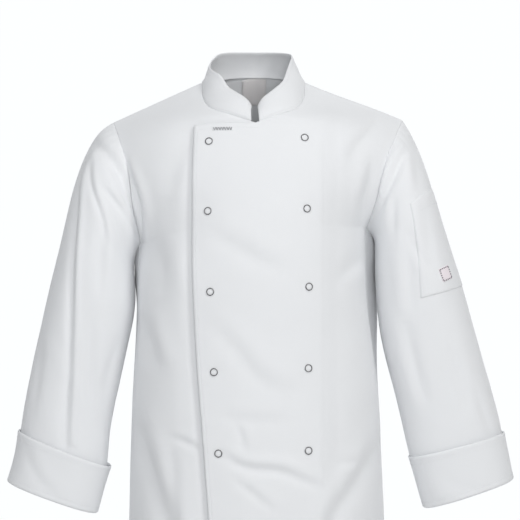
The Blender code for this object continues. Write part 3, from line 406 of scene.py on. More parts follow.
def armhole(front, back, turn):
    """The armhole's edge at shares of a turn: down the front's edge, then up the back's."""
    turn = np.asarray(turn)
    points = np.zeros(turn.shape + (3,))
    for half, corner, ahead in ((front, FRONT_ARMPIT, True), (back, BACK_ARMPIT, False)):
        v = np.linspace(half.length, half.knots[corner], 121)
        run = half.at(v, 1.0)
        length = np.concatenate([[0], np.cumsum(np.linalg.norm(np.diff(run, axis=0), axis=1))])
        share = turn * 2 if ahead else 2 - turn * 2
        use = (turn <= 0.5) if ahead else (turn > 0.5)
        at = half.at(np.interp(share * length[-1], length, v), 1.0)
        points[use] = at[use]
    return points


class Tube:
    """A sleeve or cuff: rings joined along each share of a turn. A sleeve's first rings take the armhole's shape."""

    def __init__(self, rings, front=None, back=None):
        self.rows = np.stack(list(rings.values()), 1)
        self.armhole = front, back
        step = np.linalg.norm(np.diff(self.rings(np.arange(36) / 36), axis=0), axis=2).mean(1)
        self.knots = np.concatenate([[0], np.cumsum(step)])
        self.length = self.knots[-1]

    def rings(self, turn):
        turn = np.asarray(turn) % 1.0
        made = np.stack([ring_points(row, turn) for row in self.rows])
        if self.armhole[0] is not None:
            off = armhole(*self.armhole, turn) - made[0]
            for k, share in enumerate((1.0, .62, .32, .12)):
                made[k] += off * share
        return made

    def at(self, turn, share):
        """Points at every share of the length (rows) and of a turn (columns)."""
        return natural_spline(self.knots, self.rings(turn), np.asarray(share) * self.length)


def sleeve_start(tube, turn, side):
    """The sleeve's first row: moved along the cloth by the seam's gap, and out from the body at the underarm."""
    start, ahead = tube.at(turn, np.array([0.0, 0.03]))
    along = ahead - start
    along /= np.linalg.norm(along, axis=-1, keepdims=True)
    low = np.clip(1 - np.abs(turn - 0.5) / 0.32, 0, 1)
    out = np.zeros_like(start)
    out[:, 0] = side * UNDERARM * np.minimum(1, 2 * low)
    return start + along * SEAM_TURN + out


def sleeve_grid(tube, folds, turn, share, side, least=0.0):
    """A sleeve's points with its folds, rows down its length."""
    grid = tube.at(turn, share)
    if share[0] == 0:
        grid[0] = sleeve_start(tube, turn, side)
    normal = normals_of(grid, closed=True)
    if ((grid - grid.mean(1, keepdims=True)) * normal).sum() < 0:
        normal = -normal
    s, t = np.meshgrid(share, turn, indexing="ij")
    # Folds are measured at three copies of the turn, so that one may cross the outer side.
    out = sum(fold_field((t + whole) * AROUND, s * ALONG, sized(folds), least) for whole in (-1, 0, 1))
    return grid + normal * (out * smooth(s, 0.0, 0.10) * (1 - smooth(s, 0.94, 1.0)))[..., None]


def sized(folds):
    """Sleeve folds with their shares turned into metres."""
    made = dict(folds)
    for k in "012":
        made["t" + k], made["s" + k] = folds["t" + k] * AROUND, folds["s" + k] * ALONG
    return made


def body_out(x, face):
    """The way out of the body at x: face is -1 on the front and +1 on the back."""
    angle = np.clip(np.asarray(x) / 0.215, -1, 1) * np.radians(62)
    return np.stack([np.sin(angle), face * np.cos(angle), np.zeros_like(angle)], -1)


def fold_body(grid, folds, face, least=0.0, seams=None):
    """A front's or the back's points with its folds. seams is how much of them is kept, for the sewn edges."""
    out = fold_field(grid[..., 0], grid[..., 2], folds, least)
    if seams is not None:
        out = out * seams
    return grid + body_out(grid[..., 0], face) * out[..., None]


def kept_at_seams(rows, columns, half):
    """Folds fade out towards the side seam, armhole and shoulder seam of a block of rows v and shares a."""
    return (1 - smooth(rows / half.length, 0.90, 1.0))[:, None] * (1 - smooth(columns, 0.84, 1.0))[None, :]


def over_spot(x, z):
    """A point of the over-front's middle surface at x and z, with its lap and its folds."""
    half = FRONT_L if x >= 0 else FRONT_R
    v = np.linspace(half.v_at(z - 0.02), min(half.v_at(min(z + 0.035, -.0736)), half.knots[FRONT_PIT]), 24)
    run = np.stack([half.at_x(q, abs(x)) for q in v])
    point = np.array([np.interp(z, run[:, 2], run[:, k]) for k in range(3)])
    return fold_body(lap_out(point), FRONT_FOLDS, -1)


def over_frame(x, z):
    """That point, and the unit vectors across, up and out there."""
    d = 0.004
    middle = over_spot(x, z)
    across = over_spot(x + d, z) - over_spot(x - d, z)
    up = over_spot(x, z + d) - over_spot(x, z - d)
    across /= np.linalg.norm(across)
    out = np.cross(across, up)
    out /= np.linalg.norm(out)
    return middle, across, np.cross(out, across), out


def neck_edge(front, back, pit_gap, lapped):
    """The neckline of one half, from the slit at the pit over the shoulder seam to the nape, and its length so far."""
    v = np.linspace(front.knots[FRONT_PIT], front.length, 60)
    fore = front.at(v, 0.0)
    if lapped:
        fore = lap_out(fore)
    v = np.linspace(back.length, back.knots[BACK_NAPE], 60)
    run = np.concatenate([fore, back.at(v, 0.0)[1:]])
    length = np.concatenate([[0], np.cumsum(np.linalg.norm(np.diff(run, axis=0), axis=1))])
    return run, length - pit_gap


def collar_half(front, back, top, pit_gap, lapped, shares, heights):
    """Rows from neckline to top edge of one half of the collar, columns from the front end to the centre back."""
    run, length = neck_edge(front, back, pit_gap, lapped)
    at = np.asarray(shares) * length[-1]
    base = np.stack([np.interp(at, length, run[:, k]) for k in range(3)], 1)
    edge = natural_spline(top["at"], np.stack([front.side * top["x"], top["y"], top["z"]], 1), shares)
    out = (base + edge) / 2 - np.array([0, -.004, 0])
    out[:, 2] = 0
    out /= np.maximum(np.linalg.norm(out, axis=1, keepdims=True), 1e-9)
    rise = edge - base
    base = base + rise / np.linalg.norm(rise, axis=1, keepdims=True) * COLLAR_GAP
    h = np.asarray(heights)[:, None, None]
    return base + (edge - base) * h + out * (4 * COLLAR_BOW * h * (1 - h))


# =====================================================================================
# Looks
# =====================================================================================
STEP = 0.0036      # spacing of the cloth's points
WALL = 0.0013                                # cloth shown between its finished edges
GROOVE = 0.0004                              # how far each edge is drawn in at a seam
EDGE_ROW = 0.0006                            # how close to a seam the cloth's last row but one runs


# ---- creases: the line of each trough in the front view, its half width on either side,
# ---- its depth, and how far the cloth stands up beside it (share of the depth, on the named side) ----
def crease(points, width, depth, crest=0.6, lean=1.0, ends=0.5):
    """lean over 1 makes the far side of the trough wider than the crest's side. ends is how soon it fades at its ends."""
    return {"line": np.array(points, float) / 1000, "width": width / 1000, "depth": depth / 1000,
            "crest": crest, "lean": lean, "ends": ends}


def crease_field(u, w, creases):
    """How far the cloth stands out (plus) or in (minus) at (u, w)."""
    out = np.zeros(np.shape(u))
    for c in creases:
        line, width, lean = c["line"], c["width"], c["lean"]
        reach = width * max(lean, 1.0) * 3.6 + 0.01
        near_by = (u > line[:, 0].min() - reach) & (u < line[:, 0].max() + reach) \
            & (w > line[:, 1].min() - reach) & (w < line[:, 1].max() + reach)
        if not near_by.any():
            continue
        knots = np.concatenate([[0], np.cumsum(np.linalg.norm(np.diff(line, axis=0), axis=1))])
        t = np.linspace(0, 1, max(48, int(knots[-1] / (0.3 * width))))
        run = natural_spline(knots, line, t * knots[-1])
        along = np.gradient(run, axis=0)
        along /= np.linalg.norm(along, axis=1, keepdims=True)
        du, dw = u[near_by][:, None] - run[:, 0], w[near_by][:, None] - run[:, 1]
        near = np.argmin(du * du + dw * dw, axis=1)
        du, dw = (np.take_along_axis(d, near[:, None], 1)[:, 0] for d in (du, dw))
        aside = du * along[near, 1] - dw * along[near, 0]
        past = np.abs(du * along[near, 0] + dw * along[near, 1])
        side = 1.0 if c["crest"] >= 0 else -1.0
        aside = aside * side
        taper = np.sin(np.pi * np.clip(t[near] * 0.96 + 0.02, 0, 1)) ** c["ends"] * np.exp(-(past / (1.3 * width)) ** 2)
        trough = np.exp(-(aside / np.where(aside < 0, width * lean, width)) ** 2)
        ridge = abs(c["crest"]) * np.exp(-((aside - 1.9 * width) / (1.2 * width)) ** 2)
        out[near_by] += c["depth"] * taper * (ridge - trough)
    return out


def soft_noise(u, w, size, seed):
    """Smooth unevenness with bumps about size wide, from -1 to 1, the same each time."""
    lattice = np.random.default_rng(seed).uniform(-1, 1, (64, 64))
    a, b = np.asarray(u) / size + 17.3, np.asarray(w) / size + 11.7
    i, j = np.floor(a).astype(int), np.floor(b).astype(int)
    a, b = a - i, b - j
    a, b = a * a * a * (a * (a * 6 - 15) + 10), b * b * b * (b * (b * 6 - 15) + 10)
    at = lambda p, q: lattice[p % 64, q % 64]
    return (at(i, j) * (1 - a) + at(i + 1, j) * a) * (1 - b) + (at(i, j + 1) * (1 - a) + at(i + 1, j + 1) * a) * b


# Front view, millimetres. What crosses from a panel to its neighbour is in both lists.
FRONT_CREASES = [
    # wearer's right chest and armhole
    crease([(-216, -136), (-208, -156), (-199, -180), (-192, -206), (-190, -236), (-190, -264)], 7.2, 6.6, -.6, 1.2),
    crease([(-111, -84), (-119, -118), (-132, -152), (-142, -190)], 14.4, 2.9, -.4, 1.3),
    crease([(-186, -256), (-168, -276), (-156, -300), (-152, -350)], 18, 4.0, -.4, 1.3),
    crease([(-190, -380), (-174, -425), (-158, -470)], 12.8, 4.4, -.6, 1.3),
    crease([(-196, -548), (-178, -606), (-160, -660), (-143, -716), (-134, -770)], 13.6, 6.1, -.7, 1.2),
    crease([(-136, -598), (-131, -650), (-127, -700), (-126, -750)], 11, 3.7, -.5, 1.2),
    crease([(-134, -577), (-106, -586), (-84, -596)], 6.8, 2.2, -.5),
    # over-front, between and beside the studs
    crease([(-72, -250), (-18, -284), (44, -312)], 14.4, 2.5, -.5, 1.2),
    crease([(-64, -406), (-24, -448), (10, -486), (60, -503)], 13.5, 2.3, -.7, 1.2),
    crease([(-52, -602), (-16, -621), (36, -627), (74, -642), (102, -654)], 7.6, 3.4, -.8, 1.2),
    crease([(-31, -556), (-23, -574), (-21, -592)], 6.8, 1.9, -.5),
    crease([(-52, -543), (2, -549), (54, -547)], 10.2, 1.4, -.5),
    crease([(-32, -642), (4, -670), (28, -690)], 7.6, 1.9, -.6),
    crease([(-40, -720), (10, -742), (66, -748)], 10.2, 2.2, -.5),
    # wearer's left chest, armhole and side
    crease([(206, -58), (186, -88), (166, -110), (154, -136)], 11.9, 3.4, .5, 1.2),
    crease([(188, -136), (184, -168), (178, -192), (176, -226)], 8.5, 3.7, .6, 1.1),
    crease([(176, -290), (156, -304), (136, -322)], 11, 3.1, -.5, 1.3),
    crease([(200, -590), (186, -612), (160, -652), (128, -698), (112, -740)], 12.8, 4.2, .7, 1.2),
    crease([(132, -614), (146, -617), (160, -613)], 6.8, 1.5, .4),
]
# Beside the over-front's free edge, on the under-front alone.
FLAP_SIDE = [crease([(-102, -100), (-103, -170), (-103, -250), (-101, -330), (-95, -450), (-87, -560), (-79, -660), (-71, -780)],
                    9.5, 3.6, 0.0, 1.0, .4)]
BACK_CREASES = [
    crease([(-188, -230), (-190, -266), (-188, -316)], 15, -7.5, 0.0),
    crease([(187, -214), (192, -250), (191, -300)], 16, -9.0, 0.0),
    crease([(-182, -250), (-150, -282), (-110, -305), (-70, -316)], 13.5, 3.9, -.6, 1.2),
    crease([(182, -232), (148, -272), (112, -300), (84, -318)], 13.5, 3.6, .6, 1.2),
    crease([(-168, -330), (-110, -372), (-40, -392), (30, -390)], 14.4, 3.4, -.5, 1.3),
    crease([(158, -376), (110, -420), (56, -440), (0, -446)], 13.5, 3.6, .5, 1.2),
    crease([(-90, -460), (-30, -474), (44, -470)], 12.6, 2, -.5),
    crease([(-128, -520), (-112, -600), (-108, -690), (-112, -785)], 16.2, 4.5, .5, 1.2),
    crease([(118, -510), (106, -600), (96, -700), (92, -785)], 16.2, 4.2, -.5, 1.2),
    crease([(-30, -560), (-22, -650), (-26, -785)], 18, 2.5, .4),
    crease([(-150, -120), (-140, -170), (-146, -220)], 11.7, 2.2, .5),
    crease([(156, -112), (146, -160), (150, -208)], 11.7, 2.2, -.5),
    crease([(-60, -70), (-20, -84), (30, -82)], 12.6, 1.4, -.4),
]
# Front faces of the sleeves in the same view.
SLEEVE_R_FRONT = [
    crease([(-268, -100), (-250, -114), (-233, -132), (-219, -154), (-208, -180), (-203, -214)], 8.5, 8.2, -.3, 1.4),
    crease([(-246, -178), (-229, -197), (-213, -220), (-202, -244)], 5.2, 4, -.6, 1.3),
    crease([(-272, -112), (-287, -150), (-291, -200), (-294, -262), (-297, -330), (-299, -410), (-303, -500), (-306, -592)],
           4.8, 5.0, -.7, 1.5, .4),
    crease([(-270, -124), (-269, -150), (-266, -172), (-257, -200), (-247, -231), (-242, -264)], 4.0, 2.7, -.6, 1.3),
    crease([(-300, -470), (-309, -530), (-312, -575), (-309, -608)], 7, 2.8, -.5, 1.2),
    crease([(-246, -232), (-250, -284), (-253, -348)], 7.9, 3.2, -.5, 1.2),
    crease([(-264, -398), (-267, -460), (-266, -515), (-258, -576)], 7.9, 2.9, -.5, 1.2),
    crease([(-230, -212), (-213, -266), (-202, -312), (-200, -362)], 7.9, 4.3, -.6, 1.2),
    crease([(-222, -420), (-238, -470), (-250, -520)], 7.2, 2.3, -.4),
    crease([(-350, -420), (-354, -480), (-362, -540)], 7.9, 2, .4),
]
SLEEVE_L_FRONT = [
    crease([(246, -112), (233, -136), (221, -160), (210, -184), (201, -206), (192, -234)], 6.6, 7.0, .6, 1.2),
    crease([(256, -104), (262, -140), (263, -186)], 9, 2.5, .5),
    crease([(226, -192), (222, -222), (222, -252)], 6.8, 3, .5),
    crease([(272, -206), (278, -258), (284, -312)], 8.5, 1.5, .5),
    crease([(244, -246), (262, -280), (286, -316)], 7.5, 1.7, .5),
    crease([(246, -262), (248, -320), (252, -382)], 9, 3.4, .5, 1.2),
    crease([(242, -390), (252, -440), (262, -482), (275, -526)], 9, 3.6, .5, 1.2),
    crease([(310, -430), (330, -486), (342, -540)], 9.8, 2.1, -.5),
    crease([(352, -500), (372, -548), (384, -580)], 6.8, 1.7, -.4),
]
CUFF_R_FRONT = [crease([(-378, -594), (-352, -650), (-316, -684)], 9, 1.2, -.6)]
CUFF_L_FRONT = [crease([(300, -640), (330, -662), (372, -664)], 10, .8, .5)]
# Backs of the sleeves, elbow creases among them.
SLEEVE_R_BACK = [
    crease([(-228, -250), (-262, -286), (-300, -300)], 10.2, 3.3, .5),
    crease([(-214, -372), (-262, -404), (-318, -396)], 9.3, 3.6, .6),
    crease([(-226, -430), (-270, -446), (-322, -436)], 9.3, 3, .6),
    crease([(-252, -500), (-300, -520), (-352, -506)], 10.2, 2.4, .5),
    crease([(-268, -150), (-282, -230), (-300, -330)], 11, 2.7, -.5),
    crease([(-330, -470), (-344, -540), (-352, -600)], 10.2, 2.1, .4),
]
SLEEVE_L_BACK = [
    crease([(226, -246), (258, -278), (300, -288)], 10.2, 3.3, -.5),
    crease([(216, -366), (262, -398), (322, -392)], 9.3, 3.6, -.6),
    crease([(228, -424), (276, -444), (330, -440)], 9.3, 3, -.6),
    crease([(262, -500), (306, -514), (364, -500)], 10.2, 2.4, -.5),
    crease([(262, -140), (276, -224), (296, -320)], 11, 2.7, .5),
    crease([(336, -470), (350, -540), (366, -600)], 10.2, 2.1, -.4),
]


# ---- cloth shells ----
def unit(v):
    return v / np.maximum(np.linalg.norm(v, axis=-1, keepdims=True), 1e-12)


def lengths_along(grid, axis):
    """Running length along the rows (axis 1) or columns (axis 0) of a grid. Gaps add nothing."""
    step = np.nan_to_num(np.linalg.norm(np.diff(grid, axis=axis), axis=-1))
    return np.concatenate([np.zeros_like(np.take(step, [0], axis)), np.cumsum(step, axis)], axis)


class Cloth:
    """A middle surface of one or more grids that may share points, with its normals and UVs in metres."""

    def __init__(self, grids, towards, uvs, closed=False, shared=None, judged=0):
        self.grids, self.closed, self.numbers = grids, closed, []
        points, quads, corners, far = [], [], [], []
        count = 0
        for k, (grid, uv) in enumerate(zip(grids, uvs)):
            have = ~np.isnan(grid[..., 0])
            number = np.full(have.shape, -1)
            if shared is not None and k:
                rows = shared
                have[:rows, 0] = False
                number[have] = count + np.arange(have.sum())
                number[:rows, 0] = self.numbers[0][:rows, 0]
            else:
                number[have] = count + np.arange(have.sum())
            count += int(have.sum())
            points.append(grid[have])
            last = have.shape[1] if closed else have.shape[1] - 1
            nxt = np.roll(number, -1, 1)
            cells = np.stack([number[:-1, :last], nxt[:-1, :last], nxt[1:, :last], number[1:, :last]], -1)
            keep = (cells >= 0).all(-1)
            far.append(np.nonzero(keep)[0] >= judged)
            wide = np.concatenate([uv, uv[:, -1:] * 2 - uv[:, -2:-1]], 1)
            spots = np.stack([wide[:-1, :last], wide[:-1, 1:last + 1], wide[1:, 1:last + 1], wide[1:, :last]], -2)
            self.numbers.append(number)
            quads.append(cells[keep])
            corners.append(spots[keep])
        self.points = np.concatenate(points)
        for k in range(len(quads)):
            a, b, c, d = (self.points[quads[k][far[k]][:, n]] for n in range(4))
            if (np.cross(c - a, d - b) * towards((a + c) / 2)).sum() < 0:
                quads[k], corners[k] = quads[k][:, ::-1], corners[k][:, ::-1]
        self.quads, self.corners = np.concatenate(quads), np.concatenate(corners)
        a, b, c, d = (self.points[self.quads[:, n]] for n in range(4))
        cell = np.cross(c - a, d - b)
        total = np.zeros_like(self.points)
        for n in range(4):
            np.add.at(total, self.quads[:, n], cell)
        self.normal = unit(total)

    def spread_out(self, values, part=0):
        """Values on a grid, as values on the points. Only for cloth of one grid."""
        out = np.zeros(len(self.points))
        number = self.numbers[part]
        out[number[number >= 0]] = np.broadcast_to(values, number.shape)[number >= 0]
        return out

    def spot(self, i, j, part=0):
        """Points and normals at rows i and columns j, which may lie between the grid's own."""
        number = self.numbers[part]
        rows, columns = number.shape
        i, j = np.broadcast_arrays(np.asarray(i, float), np.asarray(j, float))
        i0 = np.clip(np.floor(i).astype(int), 0, rows - 2)
        j0 = np.floor(j).astype(int) % columns if self.closed else np.clip(np.floor(j).astype(int), 0, columns - 2)
        s, t = (i - i0)[..., None], (j - np.floor(j) if self.closed else j - j0)[..., None]
        j1 = (j0 + 1) % columns
        mix = lambda q: (q[number[i0, j0]] * (1 - s) + q[number[i0 + 1, j0]] * s) * (1 - t) \
            + (q[number[i0, j1]] * (1 - s) + q[number[i0 + 1, j1]] * s) * t
        return mix(self.points), unit(mix(self.normal))


def shell(name, cloth, wall, material):
    """A thin closed shell round a cloth's middle surface: outer face, inner face and rounded rims."""
    points, normal, quads, corner = cloth.points, cloth.normal, cloth.quads, cloth.corners
    count = len(points)
    half = np.broadcast_to(np.asarray(wall, float), (count,))[:, None] / 2
    edges = np.concatenate([np.stack([quads[:, k], quads[:, (k + 1) % 4]], 1) for k in range(4)])
    spots = np.concatenate([np.stack([corner[:, k], corner[:, (k + 1) % 4]], 1) for k in range(4)])
    owner = np.tile(np.arange(len(quads)), 4)
    key = np.sort(edges, 1)
    key = key[:, 0] * count + key[:, 1]
    _, first, times = np.unique(key, return_index=True, return_counts=True)
    rim = first[times == 1]
    rim_edges, rim_uv, rim_owner = edges[rim], spots[rim], owner[rim]
    away = np.zeros((count, 3))
    middle = points[quads].mean(1)
    for k in (0, 1):
        np.add.at(away, rim_edges[:, k], points[rim_edges].mean(1) - middle[rim_owner])
    away -= (away * normal).sum(1, keepdims=True) * normal
    away = unit(away)
    on_rim = np.unique(rim_edges)
    m = np.full(count, -1)
    m[on_rim] = 2 * count + np.arange(len(on_rim))
    vertices = np.concatenate([points + normal * half, points - normal * half, (points + away * half * 0.8)[on_rim]])
    e0, e1 = rim_edges[:, 0], rim_edges[:, 1]
    faces = np.concatenate([quads, quads[:, ::-1] + count,
                            np.stack([e1, e0, m[e0], m[e1]], 1), np.stack([m[e1], m[e0], e0 + count, e1 + count], 1)])
    side = np.stack([rim_uv[:, 1], rim_uv[:, 0], rim_uv[:, 0], rim_uv[:, 1]], 1)
    return mesh_object(name, vertices, faces, np.concatenate([corner, corner[:, ::-1], side, side]), material)


def mesh_object(name, vertices, faces, loops, material):
    """A mesh from arrays of points, four-cornered faces and the UVs of their corners, riding on the jacket."""
    mesh = bpy.data.meshes.new(name)
    mesh.vertices.add(len(vertices))
    mesh.vertices.foreach_set("co", np.ascontiguousarray(vertices, np.float32).ravel())
    sides = faces.shape[1]
    mesh.loops.add(faces.size)
    mesh.loops.foreach_set("vertex_index", np.ascontiguousarray(faces, np.int32).ravel())
    mesh.polygons.add(len(faces))
    mesh.polygons.foreach_set("loop_start", np.arange(0, faces.size, sides, dtype=np.int32))
    mesh.update(calc_edges=True)
    if loops is not None:
        layer = mesh.uv_layers.new(name="cloth")
        layer.data.foreach_set("uv", np.ascontiguousarray(loops, np.float32).ravel())
    mesh.validate()
    mesh.shade_smooth()
    made = bpy.data.objects.new(name, mesh)
    bpy.context.scene.collection.objects.link(made)
    mesh.materials.append(material)
    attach(made, "root")
    return made


# ---- materials ----
def nodes_of(name):
    made = bpy.data.materials.new(name)
    made.use_nodes = True
    tree = made.node_tree
    return made, tree, tree.nodes["Principled BSDF"]


def add(tree, kind, **settings):
    node = tree.nodes.new(kind)
    for key, value in settings.items():
        setattr(node, key, value)
    return node


def twill(name, colour, warm=(1, 1, 1), pitch=0.0009, roughness=0.86, sheen=0.18, bump=0.00006):
    """Woven cotton: fine diagonal ribs from the cloth's own UVs (metres), with soft unevenness of colour and roughness."""
    made, tree, shader = nodes_of(name)
    links = tree.links
    uv = add(tree, "ShaderNodeUVMap", uv_map="cloth")
    place = add(tree, "ShaderNodeTexCoord")
    turned = add(tree, "ShaderNodeMapping")
    turned.inputs["Rotation"].default_value = (0, 0, np.radians(28))
    links.new(uv.outputs["UV"], turned.inputs["Vector"])
    ribs = add(tree, "ShaderNodeTexWave", wave_type="BANDS", bands_direction="X", wave_profile="SIN")
    ribs.inputs["Scale"].default_value = 2 * np.pi / (20 * pitch)
    ribs.inputs["Distortion"].default_value = 0.35
    ribs.inputs["Detail"].default_value = 1.0
    links.new(turned.outputs["Vector"], ribs.inputs["Vector"])
    slub = add(tree, "ShaderNodeTexNoise")
    slub.inputs["Scale"].default_value = 420
    slub.inputs["Detail"].default_value = 2
    links.new(uv.outputs["UV"], slub.inputs["Vector"])
    soft = add(tree, "ShaderNodeTexNoise")
    soft.inputs["Scale"].default_value = 9
    soft.inputs["Detail"].default_value = 3
    links.new(place.outputs["Object"], soft.inputs["Vector"])
    shade = add(tree, "ShaderNodeMix", data_type="RGBA")
    shade.inputs["A"].default_value = (*[c * w for c, w in zip(colour, warm)], 1)
    shade.inputs["B"].default_value = (*[c * 0.972 for c in colour], 1)
    links.new(soft.outputs["Fac"], shade.inputs["Factor"])
    weave = add(tree, "ShaderNodeMix", data_type="RGBA", blend_type="MULTIPLY")
    weave.inputs["Factor"].default_value = 0.05
    links.new(shade.outputs["Result"], weave.inputs["A"])
    links.new(ribs.outputs["Color"], weave.inputs["B"])
    links.new(weave.outputs["Result"], shader.inputs["Base Color"])
    rough = add(tree, "ShaderNodeMapRange")
    rough.inputs["To Min"].default_value, rough.inputs["To Max"].default_value = roughness - 0.05, roughness + 0.05
    links.new(slub.outputs["Fac"], rough.inputs["Value"])
    links.new(rough.outputs["Result"], shader.inputs["Roughness"])
    height = add(tree, "ShaderNodeMath", operation="MULTIPLY_ADD")
    links.new(slub.outputs["Fac"], height.inputs[0])
    height.inputs[1].default_value = 0.5
    links.new(ribs.outputs["Fac"], height.inputs[2])
    raised = add(tree, "ShaderNodeBump")
    raised.inputs["Strength"].default_value = 0.35
    raised.inputs["Distance"].default_value = bump
    links.new(height.outputs["Value"], raised.inputs["Height"])
    links.new(raised.outputs["Normal"], shader.inputs["Normal"])
    shader.inputs["Sheen Weight"].default_value = sheen
    shader.inputs["Sheen Roughness"].default_value = 0.5
    shader.inputs["Specular IOR Level"].default_value = 0.25
    return made


def thread(name, colour, roughness=0.6):
    """Sewing thread: fine unevenness of colour, roughness and bump."""
    made, tree, shader = nodes_of(name)
    links = tree.links
    place = add(tree, "ShaderNodeTexCoord")
    uneven = add(tree, "ShaderNodeTexNoise")
    uneven.inputs["Scale"].default_value, uneven.inputs["Detail"].default_value = 1600, 2
    links.new(place.outputs["Object"], uneven.inputs["Vector"])
    shade = add(tree, "ShaderNodeMix", data_type="RGBA")
    shade.inputs["A"].default_value = (*[c * 0.86 for c in colour], 1)
    shade.inputs["B"].default_value = (*colour, 1)
    links.new(uneven.outputs["Fac"], shade.inputs["Factor"])
    links.new(shade.outputs["Result"], shader.inputs["Base Color"])
    rough = add(tree, "ShaderNodeMapRange")
    rough.inputs["To Min"].default_value, rough.inputs["To Max"].default_value = roughness - 0.08, roughness + 0.08
    links.new(uneven.outputs["Fac"], rough.inputs["Value"])
    links.new(rough.outputs["Result"], shader.inputs["Roughness"])
    raised = add(tree, "ShaderNodeBump")
    raised.inputs["Strength"].default_value, raised.inputs["Distance"].default_value = 0.5, 0.0001
    links.new(uneven.outputs["Fac"], raised.inputs["Height"])
    links.new(raised.outputs["Normal"], shader.inputs["Normal"])
    return made


def metal(name, colour, roughness):
    """Plated metal: slightly worn, with fine unevenness of colour, roughness and bump."""
    made, tree, shader = nodes_of(name)
    links = tree.links
    place = add(tree, "ShaderNodeTexCoord")
    worn = add(tree, "ShaderNodeTexNoise")
    worn.inputs["Scale"].default_value, worn.inputs["Detail"].default_value = 700, 4
    links.new(place.outputs["Object"], worn.inputs["Vector"])
    shade = add(tree, "ShaderNodeMix", data_type="RGBA")
    shade.inputs["A"].default_value = (*[c * 0.8 for c in colour], 1)
    shade.inputs["B"].default_value = (*[c * 1.15 for c in colour], 1)
    links.new(worn.outputs["Fac"], shade.inputs["Factor"])
    links.new(shade.outputs["Result"], shader.inputs["Base Color"])
    rough = add(tree, "ShaderNodeMapRange")
    rough.inputs["To Min"].default_value, rough.inputs["To Max"].default_value = roughness - 0.07, roughness + 0.1
    links.new(worn.outputs["Fac"], rough.inputs["Value"])
    links.new(rough.outputs["Result"], shader.inputs["Roughness"])
    raised = add(tree, "ShaderNodeBump")
    raised.inputs["Strength"].default_value, raised.inputs["Distance"].default_value = 0.15, 0.00003
    links.new(worn.outputs["Fac"], raised.inputs["Height"])
    links.new(raised.outputs["Normal"], shader.inputs["Normal"])
    shader.inputs["Metallic"].default_value = 1.0
    return made


WHITE_CLOTH = (0.815, 0.828, 0.846)
cloth_white = twill("white_twill", WHITE_CLOTH)
thread_white = thread("white_thread", (0.80, 0.81, 0.83))
thread_dark = thread("dark_thread", (0.09, 0.09, 0.11))
tag_woven = twill("tag_weave", (0.87, 0.805, 0.84), pitch=0.0006, roughness=0.8, bump=0.00004)
label_woven = twill("label_weave", (0.90, 0.875, 0.875), pitch=0.0005, roughness=0.7, bump=0.00003)
nickel = metal("dark_nickel", (0.20, 0.20, 0.205), 0.30)


# ---- the fronts and the back at full resolution ----
def count_of(length, least=4):
    return max(least, int(round(length / STEP)))


def fine_rows(half, corner, armpit, like=None):
    like = like or half
    side = count_of(like.ends[1][armpit, 2] - like.ends[1][0, 2])
    return rows_of(half, corner, armpit, side, count_of(like.knots[corner] - like.knots[armpit]),
                   count_of(like.length - like.knots[corner]))


def half_grid(half, rows, across):
    return np.stack([half.even(v, np.linspace(0, 1, across + 1)) for v in rows])


def past_centre(half, heights, edges, count):
    """Points of a half's surface at rows of given height, from the centre line to each row's own edge."""
    dense_v = np.linspace(0, half.knots[half.corners[0]] + 0.012, 160)
    dense_x = np.linspace(0, 0.112, 40)
    block = np.stack([half.at_x(v, dense_x) for v in dense_v])
    centre = half.at(dense_v, np.zeros_like(dense_v))[:, 2]
    x = edges[:, None] * np.linspace(0, 1, count + 1)
    lift = 0.007 * smooth(heights[:, None], -.20, -.0735) * (x / 0.1) ** 1.5
    v = np.interp(heights[:, None] + lift, centre[:np.argmax(centre) + 1], dense_v[:np.argmax(centre) + 1])
    i = np.clip((v / dense_v[1]).astype(int), 0, len(dense_v) - 2)
    j = np.clip((x / dense_x[1]).astype(int), 0, len(dense_x) - 2)
    s, t = ((v - dense_v[i]) / dense_v[1])[..., None], ((x - dense_x[j]) / dense_x[1])[..., None]
    return (block[i, j] * (1 - s) + block[i + 1, j] * s) * (1 - t) + (block[i, j + 1] * (1 - s) + block[i + 1, j + 1] * s) * t


def creased(grid, creases, face, keep, noise=0.00035, seed=3):
    """A panel's points with its creases and a little unevenness."""
    have = ~np.isnan(grid[..., 0])
    out = np.zeros(have.shape)
    x, z = grid[have][:, 0], grid[have][:, 2]
    out[have] = crease_field(x, z, creases) + noise * (soft_noise(x, z, 0.055, seed) + 0.5 * soft_noise(x, z, 0.024, seed + 1))
    return grid + body_out(grid[..., 0], face) * (out * keep)[..., None]


def row_normals(grid, towards):
    """Normals on a grid with gaps, turned to the side that towards gives."""
    uv = np.zeros(grid.shape[:2] + (2,))
    cloth = Cloth([grid], towards, [uv])
    out = np.zeros_like(grid)
    number = cloth.numbers[0]
    out[number >= 0] = cloth.normal[number[number >= 0]]
    return out


def with_lips(grid, towards):
    """Draws the sewn edges in by the seam's groove, then adds the cloth that goes in there as seam allowance."""
    grid = grid.copy()
    n = row_normals(grid, towards)
    along = unit(grid[:, -1] - grid[:, -2])
    grid[:, -1] -= along * GROOVE
    top = unit(grid[-1] - grid[-2])
    grid[-1] -= top * GROOVE
    n, edge = n[:, -1], grid[:, -1]
    grid = np.concatenate([grid[:, :-1], (edge - along * EDGE_ROW)[:, None], edge[:, None],
                           (edge - n * 0.0007 - along * 0.0001)[:, None], (edge - n * 0.006 - along * 0.0006)[:, None]], 1)
    n = row_normals(grid, towards)[-1]
    edge, along = grid[-1], unit(grid[-1] - grid[-2])
    more = np.stack([edge - n * 0.0007 - along * 0.0001, edge - n * 0.0055 - along * 0.0006])
    more[:, -2:] = np.nan
    return np.concatenate([grid[:-1], (edge - along * EDGE_ROW)[None], grid[-1:], more])


